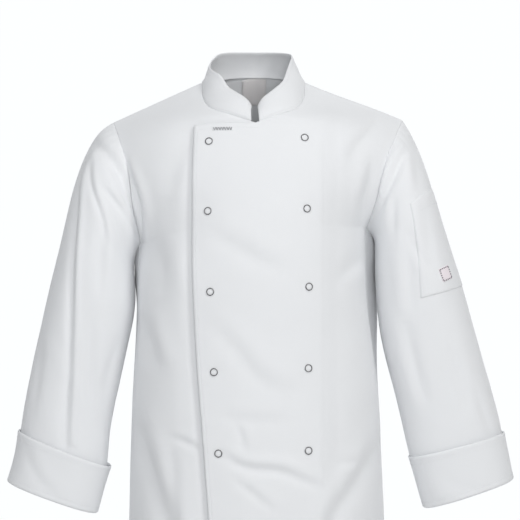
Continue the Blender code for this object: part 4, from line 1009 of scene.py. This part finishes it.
def panel_uv(grid, centre):
    """UVs in metres: across from the centre column, and up the cloth."""
    u, v = lengths_along(grid, 1), lengths_along(grid, 0)
    return np.stack([u - u[:, centre:centre + 1], v], -1)


PAST = count_of(0.105)
ACROSS_FRONT = count_of(0.32)
ACROSS_BACK = count_of(0.285)
STUDS = [(-x, z) for x, z in zip(*STUD_ROWS_R.values())] + [(x, z) for x, z in zip(*STUD_ROWS_L.values())]
out_front = lambda p: body_out(p[..., 0], -1)
out_back = lambda p: body_out(p[..., 0], 1)


def pressed(x, z):
    """How the over-front's cloth is drawn in round its studs and shows the hidden edge beneath it."""
    out = np.zeros(np.shape(x))
    for sx, sz in STUDS:
        out -= 0.0006 * np.exp(-((x - sx) ** 2 + (z - sz) ** 2) / 0.011 ** 2)
    out -= 0.0008 * smooth(x, UNDER_EDGE - 0.001, UNDER_EDGE + 0.004) \
        * (1 - smooth(x, UNDER_EDGE + 0.004, UNDER_EDGE + 0.045)) * (1 - smooth(z, -.12, -.075))
    return out


def fine_front(own, other, edge_of, lapped):
    """A front's whole grid: from its free edge to the side seam and armhole, hem to shoulder."""
    rows = fine_rows(own, FRONT_PIT, FRONT_ARMPIT)
    below = int(np.argmin(np.abs(rows - own.knots[FRONT_PIT])))
    main = half_grid(own, rows, ACROSS_FRONT)
    heights = main[:below + 1, 0, 2]
    past = past_centre(other, heights, np.array([edge_of(z) for z in heights]), PAST)
    past[:, 0] = main[:below + 1, 0]
    main, past = (lap_out(main), lap_out(past)) if lapped else (under_in(main), under_in(past))
    full = np.full((len(rows), PAST + ACROSS_FRONT + 1, 3), np.nan)
    full[:, PAST:] = main
    full[:below + 1, :PAST] = past[:, :0:-1]
    share = np.concatenate([np.zeros(PAST), np.linspace(0, 1, ACROSS_FRONT + 1)])
    keep = (1 - 0.9 * smooth(rows / own.length, 0.93, 1.0))[:, None] * (1 - 0.8 * smooth(share, 0.95, 1.0))[None, :]
    full = creased(full, FRONT_CREASES if lapped else FRONT_CREASES + FLAP_SIDE, -1, keep, seed=3)
    if lapped:
        full = full + out_front(full) * pressed(full[..., 0], full[..., 2])[..., None]
    return with_lips(full, out_front), rows, below


def edge_wall(distance, wide, more):
    """Extra wall where a hem or facing doubles the cloth near an edge."""
    return more * (1 - smooth(distance, wide - 0.0015, wide + 0.0015))


front_l, rows_l, below_l = fine_front(FRONT_L, FRONT_R, lambda z: float(flap_x(z)), True)
cloth_l = Cloth([front_l], out_front, [panel_uv(front_l, PAST)])
wall = np.minimum(WALL + edge_wall(lengths_along(front_l, 1), 0.0085, .0005)
                  + edge_wall(lengths_along(front_l, 0), 0.018, .0006), WALL + .0009)
front_left = shell("front_left_cloth", cloth_l, cloth_l.spread_out(wall), cloth_white)
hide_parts("front_left")

front_r, rows_r, below_r = fine_front(FRONT_R, FRONT_L, lambda z: UNDER_EDGE, False)
cloth_r = Cloth([front_r], out_front, [panel_uv(front_r, PAST)])
wall = WALL + edge_wall(lengths_along(front_r, 0), 0.018, .0006)
front_right = shell("front_right_cloth", cloth_r, cloth_r.spread_out(wall), cloth_white)
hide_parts("front_right")

def even_shares(half, v, shares):
    """Where along row v its even shares lie."""
    dense = np.linspace(0, 1, 81)
    run = half.at(v, dense)
    length = np.concatenate([[0], np.cumsum(np.linalg.norm(np.diff(run, axis=0), axis=1))])
    return np.interp(shares * length[-1], length, dense)


share = np.linspace(0, 1, ACROSS_BACK + 1)
back_grids = []
for half in (BACK_L, BACK_R):
    rows = fine_rows(half, BACK_NAPE, BACK_ARMPIT, BACK_L)
    # Both halves meet at the same heights on the centre line, and keep their own corners at the edge.
    lead = fine_rows(BACK_L, BACK_NAPE, BACK_ARMPIT)
    meet = np.array([half.v_at(z) if v < BACK_L.knots[BACK_NAPE] - 1e-6 else own
                     for v, own, z in zip(lead, rows, BACK_L.at(lead, 0.0)[:, 2])])
    grid = np.stack([half.at(m + (own - m) * smooth(share, 0, 0.6), even_shares(half, own, share))
                     for own, m in zip(rows, meet)])
    keep = (1 - 0.95 * smooth(rows / half.length, 0.92, 1.0))[:, None] * (1 - 0.9 * smooth(share, 0.92, 1.0))[None, :]
    back_grids.append(with_lips(creased(grid, BACK_CREASES, 1, keep, seed=11), out_back))
rows = fine_rows(BACK_L, BACK_NAPE, BACK_ARMPIT)
nape_row = int(np.argmin(np.abs(rows - BACK_L.knots[BACK_NAPE])))
uvs = [panel_uv(g, 0) for g in back_grids]
uvs[1][..., 0] *= -1
cloth_b = Cloth(back_grids, out_back, uvs, shared=nape_row + 1)
wall = np.full(len(cloth_b.points), WALL)
wall += edge_wall(cloth_b.points[:, 2] + .785, 0.018, .0006)
back_piece = shell("back_cloth", cloth_b, wall, cloth_white)
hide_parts("back")


# ---- sleeves ----
AROUND_COUNT = count_of(0.53)


def sleeve_points(tube, front_creases, back_creases, side, seed):
    turn = np.arange(AROUND_COUNT) / AROUND_COUNT
    share = np.concatenate([[0, EDGE_ROW / tube.length], np.linspace(0, .06, count_of(.06 * tube.length))[1:],
                            np.linspace(.06, 1, count_of(1.12 * tube.length))[1:]])
    grid = tube.at(turn, share)
    # The first row is tucked just under the panel's edge, as a seam pressed towards the sleeve.
    start = 0.65 * grid[0] + 0.35 * sleeve_start(tube, turn, side)
    inward_way = unit(grid[0].mean(0) - start)
    grid[0] = start + inward_way * 0.0005
    grid[1] = start + unit(grid[2] - start) * EDGE_ROW + inward_way * 0.0004
    middle = grid.mean(1, keepdims=True)
    normal = normals_of(grid, closed=True)
    if ((grid - middle) * normal).sum() < 0:
        normal = -normal
    x, z = grid[..., 0], grid[..., 2]
    s, t = np.meshgrid(share, turn, indexing="ij")
    out = crease_field(x, z, front_creases) * smooth(-normal[..., 1], -0.05, 0.45) \
        + crease_field(x, z, back_creases) * smooth(normal[..., 1], -0.05, 0.45)
    # Unevenness that runs round without a break.
    wide, deep = np.cos(2 * np.pi * t) * 0.07, np.sin(2 * np.pi * t) * 0.07
    out += 0.0004 * (soft_noise(wide + s * tube.length, deep, 0.05, seed)
                     + 0.5 * soft_noise(deep, wide + s * tube.length, 0.026, seed + 1))
    # The cap is eased a little into the armhole.
    upper = np.clip(np.cos(2 * np.pi * t) * 1.2 + 0.2, 0, 1)
    out += 0.00045 * upper * np.sin(2 * np.pi * t * 26 + 2 * np.sin(2 * np.pi * t * 3)) \
        * np.exp(-(s * tube.length / 0.016) ** 2) * smooth(s, 0, 0.006)
    out *= smooth(s, 0.0, 0.010) * (1 - smooth(s, 0.96, 1.0))
    out = np.where(s > 0.84, np.minimum(out, 0.0007), out)
    grid = grid + normal * out[..., None]
    inward_way, back_way = unit(middle[0] - grid[0]), unit(grid[0] - grid[2])
    lip = np.stack([grid[0] + back_way * 0.0002 + inward_way * 0.0055, grid[0] + back_way * 0.0003 + inward_way * 0.0008])
    return np.concatenate([lip, grid]), share


def tube_uv(grid, girth):
    u = np.broadcast_to(np.arange(grid.shape[1]) / grid.shape[1] * girth, grid.shape[:2])
    return np.stack([u, lengths_along(grid, 0)], -1)


sleeves = {}
for name, rings, front, back, ahead_list, behind_list, side, seed in (
        ("sleeve_left", SLEEVE_L, FRONT_L, BACK_L, SLEEVE_L_FRONT, SLEEVE_L_BACK, 1, 31),
        ("sleeve_right", SLEEVE_R, FRONT_R, BACK_R, SLEEVE_R_FRONT, SLEEVE_R_BACK, -1, 47)):
    tube = Tube(rings, front, back)
    grid, share = sleeve_points(tube, ahead_list, behind_list, side, seed)
    core = grid.mean(1)
    cloth = Cloth([grid], lambda p, c=core: p - c[np.argmin(((p[:, None] - c[None, ::6]) ** 2).sum(-1), 1) * 6], [tube_uv(grid, .42)], closed=True)
    made = shell(name + "_cloth", cloth, WALL, cloth_white)
    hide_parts(name, name + "_lower")
    sleeves[name] = (tube, cloth, share, made)


# ---- cuffs ----
TURNED = 0.0031                  # radius of the cuff's turned edge
cuffs = {}
for name, rings, front_list, seed in (("cuff_left", CUFF_L, CUFF_L_FRONT, 61), ("cuff_right", CUFF_R, CUFF_R_FRONT, 67)):
    tube = Tube(rings)
    turn = np.arange(AROUND_COUNT) / AROUND_COUNT
    share = np.linspace(0, 1, count_of(tube.length) + 1)
    outer = tube.at(turn, share)
    normal = normals_of(outer, closed=True)
    if ((outer - outer.mean(1, keepdims=True)) * normal).sum() < 0:
        normal = -normal
    s, t = np.meshgrid(share, turn, indexing="ij")
    wide, deep = np.cos(2 * np.pi * t) * 0.07, np.sin(2 * np.pi * t) * 0.07
    out = crease_field(outer[..., 0], outer[..., 2], front_list) * smooth(-normal[..., 1], -0.05, 0.45) \
        + 0.00035 * soft_noise(wide + s * tube.length, deep, 0.045, seed)
    # A faint draw at the stitched band's edges.
    out -= 0.0003 * np.exp(-((s * tube.length - 0.0065) / 0.0022) ** 2)
    outer = outer + normal * out[..., None]
    up, inward_way = unit(outer[1] - outer[0]), unit(outer[0].mean(0) - outer[0])
    roll = np.stack([outer[0] + inward_way * TURNED * (1 - np.cos(a)) - up * TURNED * np.sin(a)
                     for a in np.linspace(0, np.pi, 8)[1:]])
    inner = np.stack([roll[-1] + up * d for d in np.linspace(0, 0.014, 5)[1:]])
    grid = np.concatenate([inner[::-1], roll[::-1], outer])
    core = outer.mean(1)
    cloth = Cloth([grid], lambda p, c=core: p - c[np.argmin(((p[:, None] - c[None, ::3]) ** 2).sum(-1), 1) * 3],
                  [tube_uv(grid, .42)], closed=True, judged=len(inner) + len(roll))
    rise = lengths_along(grid, 0)
    wall = WALL + 0.0004 + edge_wall(rise[-1] - rise, 0.009, .0005)
    made = shell(name + "_cloth", cloth, cloth.spread_out(wall), cloth_white)
    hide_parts(name)
    cuffs[name] = (tube, cloth, len(inner) + len(roll), made)


# ---- collar ----
shares, heights = np.linspace(0, 1, count_of(.25)), np.linspace(0, 1, 15)
collar_grids = []
for front, back, top, gap, lapped in ((FRONT_L, BACK_L, COLLAR_L, COLLAR_SLIT[1], True),
                                      (FRONT_R, BACK_R, COLLAR_R, COLLAR_SLIT[0], False)):
    collar_grids.append(collar_half(front, back, top, gap, lapped, shares, heights))
collar_grids[0][:, -1] = collar_grids[1][:, -1]
collar_grid = np.concatenate([collar_grids[0], collar_grids[1][:, -2::-1]], 1)
normal = normals_of(collar_grid)
spot_out = collar_grid - np.array([0, .004, 0])
spot_out[..., 2] = 0
if (normal * spot_out).sum() < 0:
    normal = -normal
u, w = lengths_along(collar_grid, 1), lengths_along(collar_grid, 0)
uneven = 0.0004 * soft_noise(u, w, 0.03, 83) + 0.00025 * soft_noise(u, w, 0.014, 84)
# A shallow channel along the edge stitching, and the fold at the collar's foot.
uneven = uneven - 0.00025 * np.exp(-((w[-1] - w - 0.0055) / 0.0018) ** 2)
collar_grid = collar_grid + normal * uneven[..., None]
down = unit(collar_grid[0] - collar_grid[1])
foot = np.stack([collar_grid[0] + down * 0.0044 - normal[0] * 0.0011, collar_grid[0] + down * 0.0017 - normal[0] * 0.0005])
collar_grid = np.concatenate([foot, collar_grid])
cloth_collar = Cloth([collar_grid], lambda p: (p - np.array([0, .004, 0])) * np.array([1, 1, 0]),
                     [np.stack([lengths_along(collar_grid, 1), lengths_along(collar_grid, 0)], -1)])
thick = np.full(collar_grid.shape[:2], 0.0021)
thick[:2] = 0.0010
collar_piece = shell("collar_cloth", cloth_collar, cloth_collar.spread_out(thick), cloth_white)
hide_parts("collar")


# ---- pocket and tag on the wearer's left sleeve ----
def patch(name, grid, normal, base, rise, wall, material, sink=0.0):
    """A patch on a surface: grid and normals of the surface under it, its own rise, and its edge drawn down onto it."""
    rows, columns = grid.shape[:2]
    u, v = lengths_along(grid, 1), lengths_along(grid, 0)
    rim = np.minimum(np.minimum(u, u[:, -1:] - u), np.minimum(v, v[-1:] - v))
    lift = base + rise * smooth(rim, 0, 0.006) - sink * np.exp(-(rim / 0.0012) ** 2)
    lifted = grid + normal * lift[..., None]
    cloth = Cloth([lifted], lambda p: p * 0 + normal.mean((0, 1)), [np.stack([u, v], -1)])
    return cloth, shell(name, cloth, wall, material)


sleeve_tube, sleeve_cloth, sleeve_share, sleeve_piece = sleeves["sleeve_left"]


def sleeve_rows(share):
    return 2 + np.interp(share, sleeve_share, np.arange(len(sleeve_share)))


columns = count_of(.085) * 2
across = np.linspace(0, 1, columns + 1)
edge_top = POCKET["turn"][1] + across * (POCKET["turn"][0] - POCKET["turn"][1])
edge_low = POCKET["turn"][3] + across * (POCKET["turn"][2] - POCKET["turn"][3])
high = POCKET["down"][1] + across * (POCKET["down"][0] - POCKET["down"][1])
low = POCKET["down"][3] + across * (POCKET["down"][2] - POCKET["down"][3])
down = np.linspace(0, 1, count_of(.17) + 1)[:, None]
pocket_share, pocket_turn = high + (low - high) * down, edge_top + (edge_low - edge_top) * down
surface, normal = sleeve_cloth.spot(sleeve_rows(pocket_share), (pocket_turn % 1.0) * AROUND_COUNT)
pocket_cloth, pocket_piece = patch("sleeve_pocket_cloth", surface, normal, 0.00105, 0.0003, 0.0008, cloth_white, 0.0002)
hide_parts("sleeve_pocket")

columns = count_of(TAG_SIDE) * 2
half_tag = np.linspace(-.5, .5, columns + 1)
s, t = np.meshgrid(half_tag * TAG_SIDE / sleeve_tube.length, half_tag * TAG_SIDE / AROUND, indexing="ij")
tag_share, tag_turn = TAG_AT[1] + s + t * TAG_TILT[0], TAG_AT[0] + t + s * TAG_TILT[1]
surface, normal = sleeve_cloth.spot(sleeve_rows(tag_share), (tag_turn % 1.0) * AROUND_COUNT)
tag_cloth, tag_piece = patch("pocket_tag_cloth", surface, normal, 0.0022, 0.0004, 0.0009, tag_woven)
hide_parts("pocket_tag")

# ---- neck label, inside the back below the nape ----
nape = BACK_L.at(BACK_L.knots[BACK_NAPE], 0.0)[2]
label_grid = np.stack([np.stack([(BACK_L if q >= 0 else BACK_R).at_x((BACK_L if q >= 0 else BACK_R).v_at(nape - drop), abs(q))
                                 for q in np.linspace(*LABEL["x"], 13)]) for drop in np.linspace(0.0015, LABEL["drop"], 15)])
normal = normals_of(label_grid)
if normal[..., 1].sum() > 0:
    normal = -normal
label_cloth, label_piece = patch("neck_label_cloth", label_grid, normal, 0.0013, 0.0007, 0.0008, label_woven)
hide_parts("neck_label")

# ---- strip on the flap ----
front_points = cloth_l.points[cloth_l.normal[:, 1] < -0.3]
front_normals = cloth_l.normal[cloth_l.normal[:, 1] < -0.3]


def on_front(x, z):
    """Points and normals of the over-front's middle surface at x and z."""
    x, z = np.broadcast_arrays(np.asarray(x, float), np.asarray(z, float))
    spots, ways = np.zeros(x.shape + (3,)), np.zeros(x.shape + (3,))
    for at in np.ndindex(x.shape):
        far = (front_points[:, 0] - x[at]) ** 2 + (front_points[:, 2] - z[at]) ** 2
        near = np.argpartition(far, 6)[:6]
        weigh = 1 / (far[near] + 1e-9)
        n = unit((front_normals[near] * weigh[:, None]).sum(0))
        middle = (front_points[near] * weigh[:, None]).sum(0) / weigh.sum()
        y = middle[1] - (n[0] * (x[at] - middle[0]) + n[2] * (z[at] - middle[2])) / n[1]
        spots[at], ways[at] = (x[at], y, z[at]), n
    return spots, ways


x, z = np.meshgrid(np.linspace(*TAB["x"], 15), TAB["z"] + np.linspace(-.5, .5, 5) * TAB["high"])
surface, normal = on_front(x, z)
tab_cloth, tab_piece = patch("chest_tab_cloth", surface, normal, 0.0010, 0.0002, 0.0006, cloth_white, 0.0001)
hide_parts("chest_tab")


# ---- stitches, as threads that dive into the cloth at both ends ----
def threads(name, runs, material, stitch=0.0025, pitch=0.0034, radius=0.00030, lift=0.00005):
    """runs is a list of (points, normals) along each line of stitches, on the cloth's outer face."""
    spots, ways, lines = [], [], []
    share = np.array([-.5, -.36, -.12, .12, .36, .5])
    for points, normals in runs:
        length = np.concatenate([[0], np.cumsum(np.linalg.norm(np.diff(points, axis=0), axis=1))])
        count = int((length[-1] - 0.2 * pitch) / pitch)
        if count < 1:
            continue
        middle = (np.arange(count) + 0.5) * length[-1] / count
        at = middle[:, None] + share * stitch
        read = lambda q: np.stack([np.interp(at, length, q[:, k]) for k in range(3)], -1)
        spots.append(read(points))
        ways.append(unit(read(normals)))
    spots, ways = np.concatenate(spots), np.concatenate(ways)
    lines = unit(np.gradient(spots, axis=1))
    sides = unit(np.cross(lines, ways))
    rise = np.array([-1.0, 0.1, 0.6, 0.6, 0.1, -1.0]) * radius + lift
    size = np.array([.5, .9, 1, 1, .9, .5]) * radius
    spots = spots + ways * rise[:, None]
    angle = np.arange(6) / 6 * 2 * np.pi
    ring = spots[:, :, None] + size[:, None, None] * (np.cos(angle)[:, None] * sides[:, :, None]
                                                       + np.sin(angle)[:, None] * ways[:, :, None])
    count = len(spots)
    number = np.arange(count * 36).reshape(count, 6, 6)
    nxt = np.roll(number, -1, 2)
    body = np.stack([number[:, :-1], nxt[:, :-1], nxt[:, 1:], number[:, 1:]], -1).reshape(-1, 4)
    first, last = number[:, 0], number[:, -1]
    ends = np.concatenate([first[:, [3, 2, 1, 0]], first[:, [0, 5, 4, 3]], last[:, [0, 1, 2, 3]], last[:, [3, 4, 5, 0]]])
    return mesh_object(name, ring.reshape(-1, 3), np.concatenate([body, ends]), None, material)


def run_on(cloth, i, j, wall, part=0):
    """A line on the outer face of a cloth, through rows i and columns j."""
    points, normals = cloth.spot(i, j, part)
    return points + normals * (wall / 2), normals


def column_at(grid, row, distance, from_end=False, first=0):
    """The column, in parts, that lies at a distance from an end of a row."""
    run = lengths_along(grid[row:row + 1], 1)[0]
    run = run - run[first]
    if from_end:
        return float(np.interp(run[-1] - distance, run, np.arange(len(run))))
    return float(np.interp(distance, run, np.arange(len(run))))


def row_at(grid, column, distance, first=0):
    """The row, in parts, at a distance up a column from its first row."""
    run = lengths_along(grid[:, column:column + 1], 0)[:, 0]
    return float(np.interp(distance + run[first], run, np.arange(len(run))))


def side_of_grid(grid, distance, columns, start, stop):
    """Rows for a line that keeps its distance above the hem across the named columns."""
    j = np.linspace(start, stop, (stop - start) * 2 + 1)
    i = np.array([row_at(grid, int(round(q)), distance) for q in j])
    return i, j


THICK = WALL + 0.0009
rows_down = np.linspace(0.0, below_l, below_l * 2 + 1)
flap_runs = []
inset = 0.0065
step_in = np.array([column_at(front_l, int(round(q)), inset) for q in rows_down])
top_i = below_l - inset / float(np.linalg.norm(front_l[below_l, 0] - front_l[below_l - 1, 0]))
keep = rows_down <= top_i
flap_runs.append(run_on(cloth_l, rows_down[keep], step_in[keep], WALL + .0005))
flap_columns = np.linspace(step_in[keep][-1], PAST + column_at(front_l[:, PAST:], below_l, 0.004), 80)
flap_runs.append(run_on(cloth_l, np.full(80, top_i), flap_columns, WALL))
last_column = PAST + ACROSS_FRONT
hem_i, hem_j = side_of_grid(front_l, 0.0172, None, 2, last_column - 1)
flap_runs.append(run_on(cloth_l, hem_i, hem_j, WALL + .0006))
front_left_thread = threads("front_left_stitches", flap_runs, thread_white)

hem_i, hem_j = side_of_grid(front_r, 0.0172, None, 2, last_column - 1)
front_right_thread = threads("front_right_stitches", [run_on(cloth_r, hem_i, hem_j, WALL + .0006)], thread_white)

back_runs = []
for part, grid in enumerate(back_grids):
    hem_i, hem_j = side_of_grid(grid, 0.0172, None, 0, ACROSS_BACK - 1)
    back_runs.append(run_on(cloth_b, hem_i, hem_j, WALL + .0006, part))
back_thread = threads("back_stitches", back_runs, thread_white)

for name, (tube, cloth, first, made) in cuffs.items():
    grid = cloth.grids[0]
    around = np.linspace(0, AROUND_COUNT, AROUND_COUNT * 2 + 1)
    runs = []
    for distance in (0.0065, lengths_along(grid, 0)[-1].mean() - lengths_along(grid, 0)[first].mean() - 0.0075):
        i = np.array([row_at(grid, int(round(q)) % AROUND_COUNT, distance, first) for q in around])
        runs.append(run_on(cloth, i, around, WALL + .0006))
    threads(name + "_stitches", runs, thread_white)

rows, columns = collar_grid.shape[:2]
collar_runs = []
inset_row = np.array([row_at(collar_grid, q, lengths_along(collar_grid[2:], 0)[-1, q] - 0.0055, 2) for q in range(columns)])
from_left, to_right = column_at(collar_grid, rows - 1, 0.0055), column_at(collar_grid, rows - 1, 0.0055, True)
j = np.linspace(from_left, to_right, columns * 2)
collar_runs.append(run_on(cloth_collar, np.interp(j, np.arange(columns), inset_row), j, .0021))
for end_at in (from_left, to_right):
    i = np.linspace(3, np.interp(end_at, np.arange(columns), inset_row), 16)
    collar_runs.append(run_on(cloth_collar, i, np.full(16, end_at), .0021))
foot_j = np.linspace(1.5, columns - 2.5, columns * 2)
collar_runs.append(run_on(cloth_collar, np.full(len(foot_j), 2 + 0.0035 / float(np.linalg.norm(collar_grid[3, 10] - collar_grid[2, 10]))),
                          foot_j, .0021))
collar_thread = threads("collar_stitches", collar_runs, thread_white)


def border(cloth, inset, wall, sides="lrtb"):
    """Lines of stitches just inside the named sides of a patch."""
    grid = cloth.grids[0]
    rows, columns = grid.shape[:2]
    u = lengths_along(grid, 1)[rows // 2, -1] / (columns - 1)
    v = lengths_along(grid, 0)[-1, columns // 2] / (rows - 1)
    left, right, top, bottom = inset / u, columns - 1 - inset / u, inset / v, rows - 1 - inset / v
    i, j = np.linspace(top, bottom, rows * 2), np.linspace(left, right, columns * 2)
    lines = {"l": (i, left), "r": (i, right), "t": (top, j), "b": (bottom, j)}
    return [run_on(cloth, *lines[side], wall) for side in sides]


pocket_thread = threads("sleeve_pocket_stitches", border(pocket_cloth, .0022, .0008, "lrb") + border(pocket_cloth, .019, .0008, "t"),
                        thread_white)
tag_thread = threads("pocket_tag_stitches", border(tag_cloth, .0009, .0009) + border(tag_cloth, .0018, .0009), thread_dark,
                     stitch=.0026, pitch=.0034, radius=.00046)
label_thread = threads("neck_label_stitches", border(label_cloth, .0014, .0008), thread_white, stitch=.0020, pitch=.0027, radius=.00024)

# The strip's plain pattern: one row of short slanting stitches.
strip_runs = []
for k in range(14):
    x0 = TAB["x"][0] + 0.0030 + k * (TAB["x"][1] - TAB["x"][0] - 0.006) / 13
    tilt = 0.0007 if k % 2 else -0.0007
    points, normals = on_front(np.linspace(x0 - tilt, x0 + tilt, 3), TAB["z"] + np.linspace(-.0031, .0031, 3))
    strip_runs.append((points + normals * 0.0016, normals))
strip_thread = threads("chest_tab_stitches", strip_runs, thread_dark, stitch=.0058, pitch=.0052, radius=.00042)


# ---- ring studs, with the cloth that domes up inside each ring ----
def ring_mesh(name, middle, across, up, out, material):
    turns, wires = 40, 14
    a, b = np.meshgrid(np.arange(turns) / turns * 2 * np.pi, np.arange(wires) / wires * 2 * np.pi, indexing="ij")
    reach = STUD_RING + STUD_WIRE * np.cos(b) * 0.92
    high = STUD_WIRE * np.sin(b) * 0.85
    points = middle + reach[..., None] * (np.cos(a)[..., None] * across + np.sin(a)[..., None] * up) + high[..., None] * out
    number = np.arange(turns * wires).reshape(turns, wires)
    faces = np.stack([number, np.roll(number, -1, 0), np.roll(np.roll(number, -1, 0), -1, 1), np.roll(number, -1, 1)], -1)
    return mesh_object(name, points.reshape(-1, 3), faces.reshape(-1, 4), None, material)


def dome_points(middle, across, up, out):
    rings, turns = 6, 24
    r, a = np.meshgrid(np.linspace(0.12, 1, rings) * (STUD_RING - STUD_WIRE * 0.55), np.arange(turns) / turns * 2 * np.pi, indexing="ij")
    high = 0.0011 * (1 - (r / STUD_RING) ** 2) ** 0.7 - 0.0004
    points = middle + r[..., None] * (np.cos(a)[..., None] * across + np.sin(a)[..., None] * up) + high[..., None] * out
    number = np.arange(rings * turns).reshape(rings, turns)
    nxt = np.roll(number, -1, 1)
    faces = np.stack([number[:-1], number[1:], nxt[1:], nxt[:-1]], -1).reshape(-1, 4)
    # The middle closes with four-cornered faces from a ring to itself.
    first = number[0]
    caps = [[first[k], first[k + 1], first[(turns - 1 - k - 1)], first[(turns - 1 - k)]] for k in range(turns // 2 - 1)]
    uv = np.stack([r * np.cos(a), r * np.sin(a)], -1).reshape(-1, 2)
    return points.reshape(-1, 3), np.concatenate([faces, np.array(caps)]), uv


studs, domes, dome_faces, dome_uvs, at = [], [], [], [], 0
for letter, table_of in (("r", STUD_ROWS_R), ("l", STUD_ROWS_L)):
    for number, (x, z) in enumerate(zip(*table_of.values()), 1):
        x = -x if letter == "r" else x
        spot, out = on_front(x, z)
        side, _ = on_front(np.array([x - .004, x + .004]), z)
        across = unit(side[1] - side[0])
        across = unit(across - (across * out).sum() * out)
        up = np.cross(out, across)
        lift = WALL / 2 + STUD_WIRE * 0.85 + 0.0003
        name = f"stud_{letter}{number}"
        ring = ring_mesh(name + "_ring", spot + out * lift, across, up, out, nickel)
        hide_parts(name)
        studs.append(ring)
        points, faces, uv = dome_points(spot + out * (WALL / 2 + 0.0004), across, up, out)
        domes.append(points)
        dome_faces.append(faces + at)
        dome_uvs.append(uv)
        at += len(points)
dome_faces, dome_uvs = np.concatenate(dome_faces), np.concatenate(dome_uvs)
dome_piece = mesh_object("stud_cloth", np.concatenate(domes), dome_faces, dome_uvs[dome_faces], cloth_white)


# ---- floor, backdrop, light and camera ----
def stage_material(name, base, glow, strength):
    made, tree, shader = nodes_of(name)
    shader.inputs["Base Color"].default_value = (*base, 1)
    shader.inputs["Roughness"].default_value = 1.0
    shader.inputs["Specular IOR Level"].default_value = 0.0
    shader.inputs["Emission Color"].default_value = (*glow, 1)
    shader.inputs["Emission Strength"].default_value = strength
    return made


FLOOR, REAR, BEND = -1.45, 2.4, 0.9
profile = [(-6.0, FLOOR), (REAR - BEND, FLOOR)]
profile += [(REAR - BEND + BEND * np.sin(a), FLOOR + BEND * (1 - np.cos(a))) for a in np.linspace(0, np.pi / 2, 13)[1:]]
profile += [(REAR, 4.2)]
mesh = bpy.data.meshes.new("backdrop")
mesh.from_pydata([(x, y, z) for y, z in profile for x in (-6.0, 6.0)], [],
                 [(2 * k, 2 * k + 1, 2 * k + 3, 2 * k + 2) for k in range(len(profile) - 1)])
mesh.shade_smooth()
mesh.materials.append(stage_material("pale_floor", (.80, .80, .80), (0, 0, 0), 0.0))
mesh.materials.append(stage_material("lit_rear_wall", (.02, .02, .02), (0.973, 0.991, 1.0), 1.0))
mesh.polygons.foreach_set("material_index", [0 if k < 8 else 1 for k in range(len(mesh.polygons))])
backdrop = bpy.data.objects.new("backdrop", mesh)
bpy.context.scene.collection.objects.link(backdrop)


def soft_light(name, size, power, place, aim, colour=(1, 1, 1)):
    data = bpy.data.lights.new(name, "AREA")
    data.shape, data.size, data.size_y = "RECTANGLE", *size
    data.energy, data.color = power, colour
    made = bpy.data.objects.new(name, data)
    bpy.context.scene.collection.objects.link(made)
    made.location = place
    made.rotation_euler = (Vector(aim) - Vector(place)).to_track_quat("-Z", "Y").to_euler()
    return made


soft_light("key", (1.0, 1.0), 50, (2.3, -2.4, 1.8), (0, 0, -.35), (1.0, .995, .985))
soft_light("fill", (1.6, 1.6), 27, (-2.6, -2.6, .9), (0, 0, -.4), (.97, .985, 1.0))
soft_light("front", (0.9, 0.9), 34, (.3, -3.4, .25), (0, 0, -.1), (1.0, 1.0, 1.0))
soft_light("top", (1.4, 1.4), 19, (0, -1.2, 2.5), (0, 0, -.1), (1.0, 1.0, 1.0))

world = bpy.data.worlds.new("studio")
bpy.context.scene.world = world
world.use_nodes = True
world.node_tree.nodes["Background"].inputs["Color"].default_value = (0.97, 0.985, 1.0, 1)
world.node_tree.nodes["Background"].inputs["Strength"].default_value = 0.15
bpy.context.scene.view_settings.view_transform = "Standard"

camera = bpy.data.cameras.new("camera")
camera.sensor_width, camera.lens = 36.0, 134.27
camera.clip_start, camera.clip_end = 0.1, 60
eye = bpy.data.objects.new("camera", camera)
bpy.context.scene.collection.objects.link(eye)
eye.location, eye.rotation_euler = (0.0066, -3.2, -0.2937), (np.radians(90), 0, 0)
bpy.context.scene.camera = eye
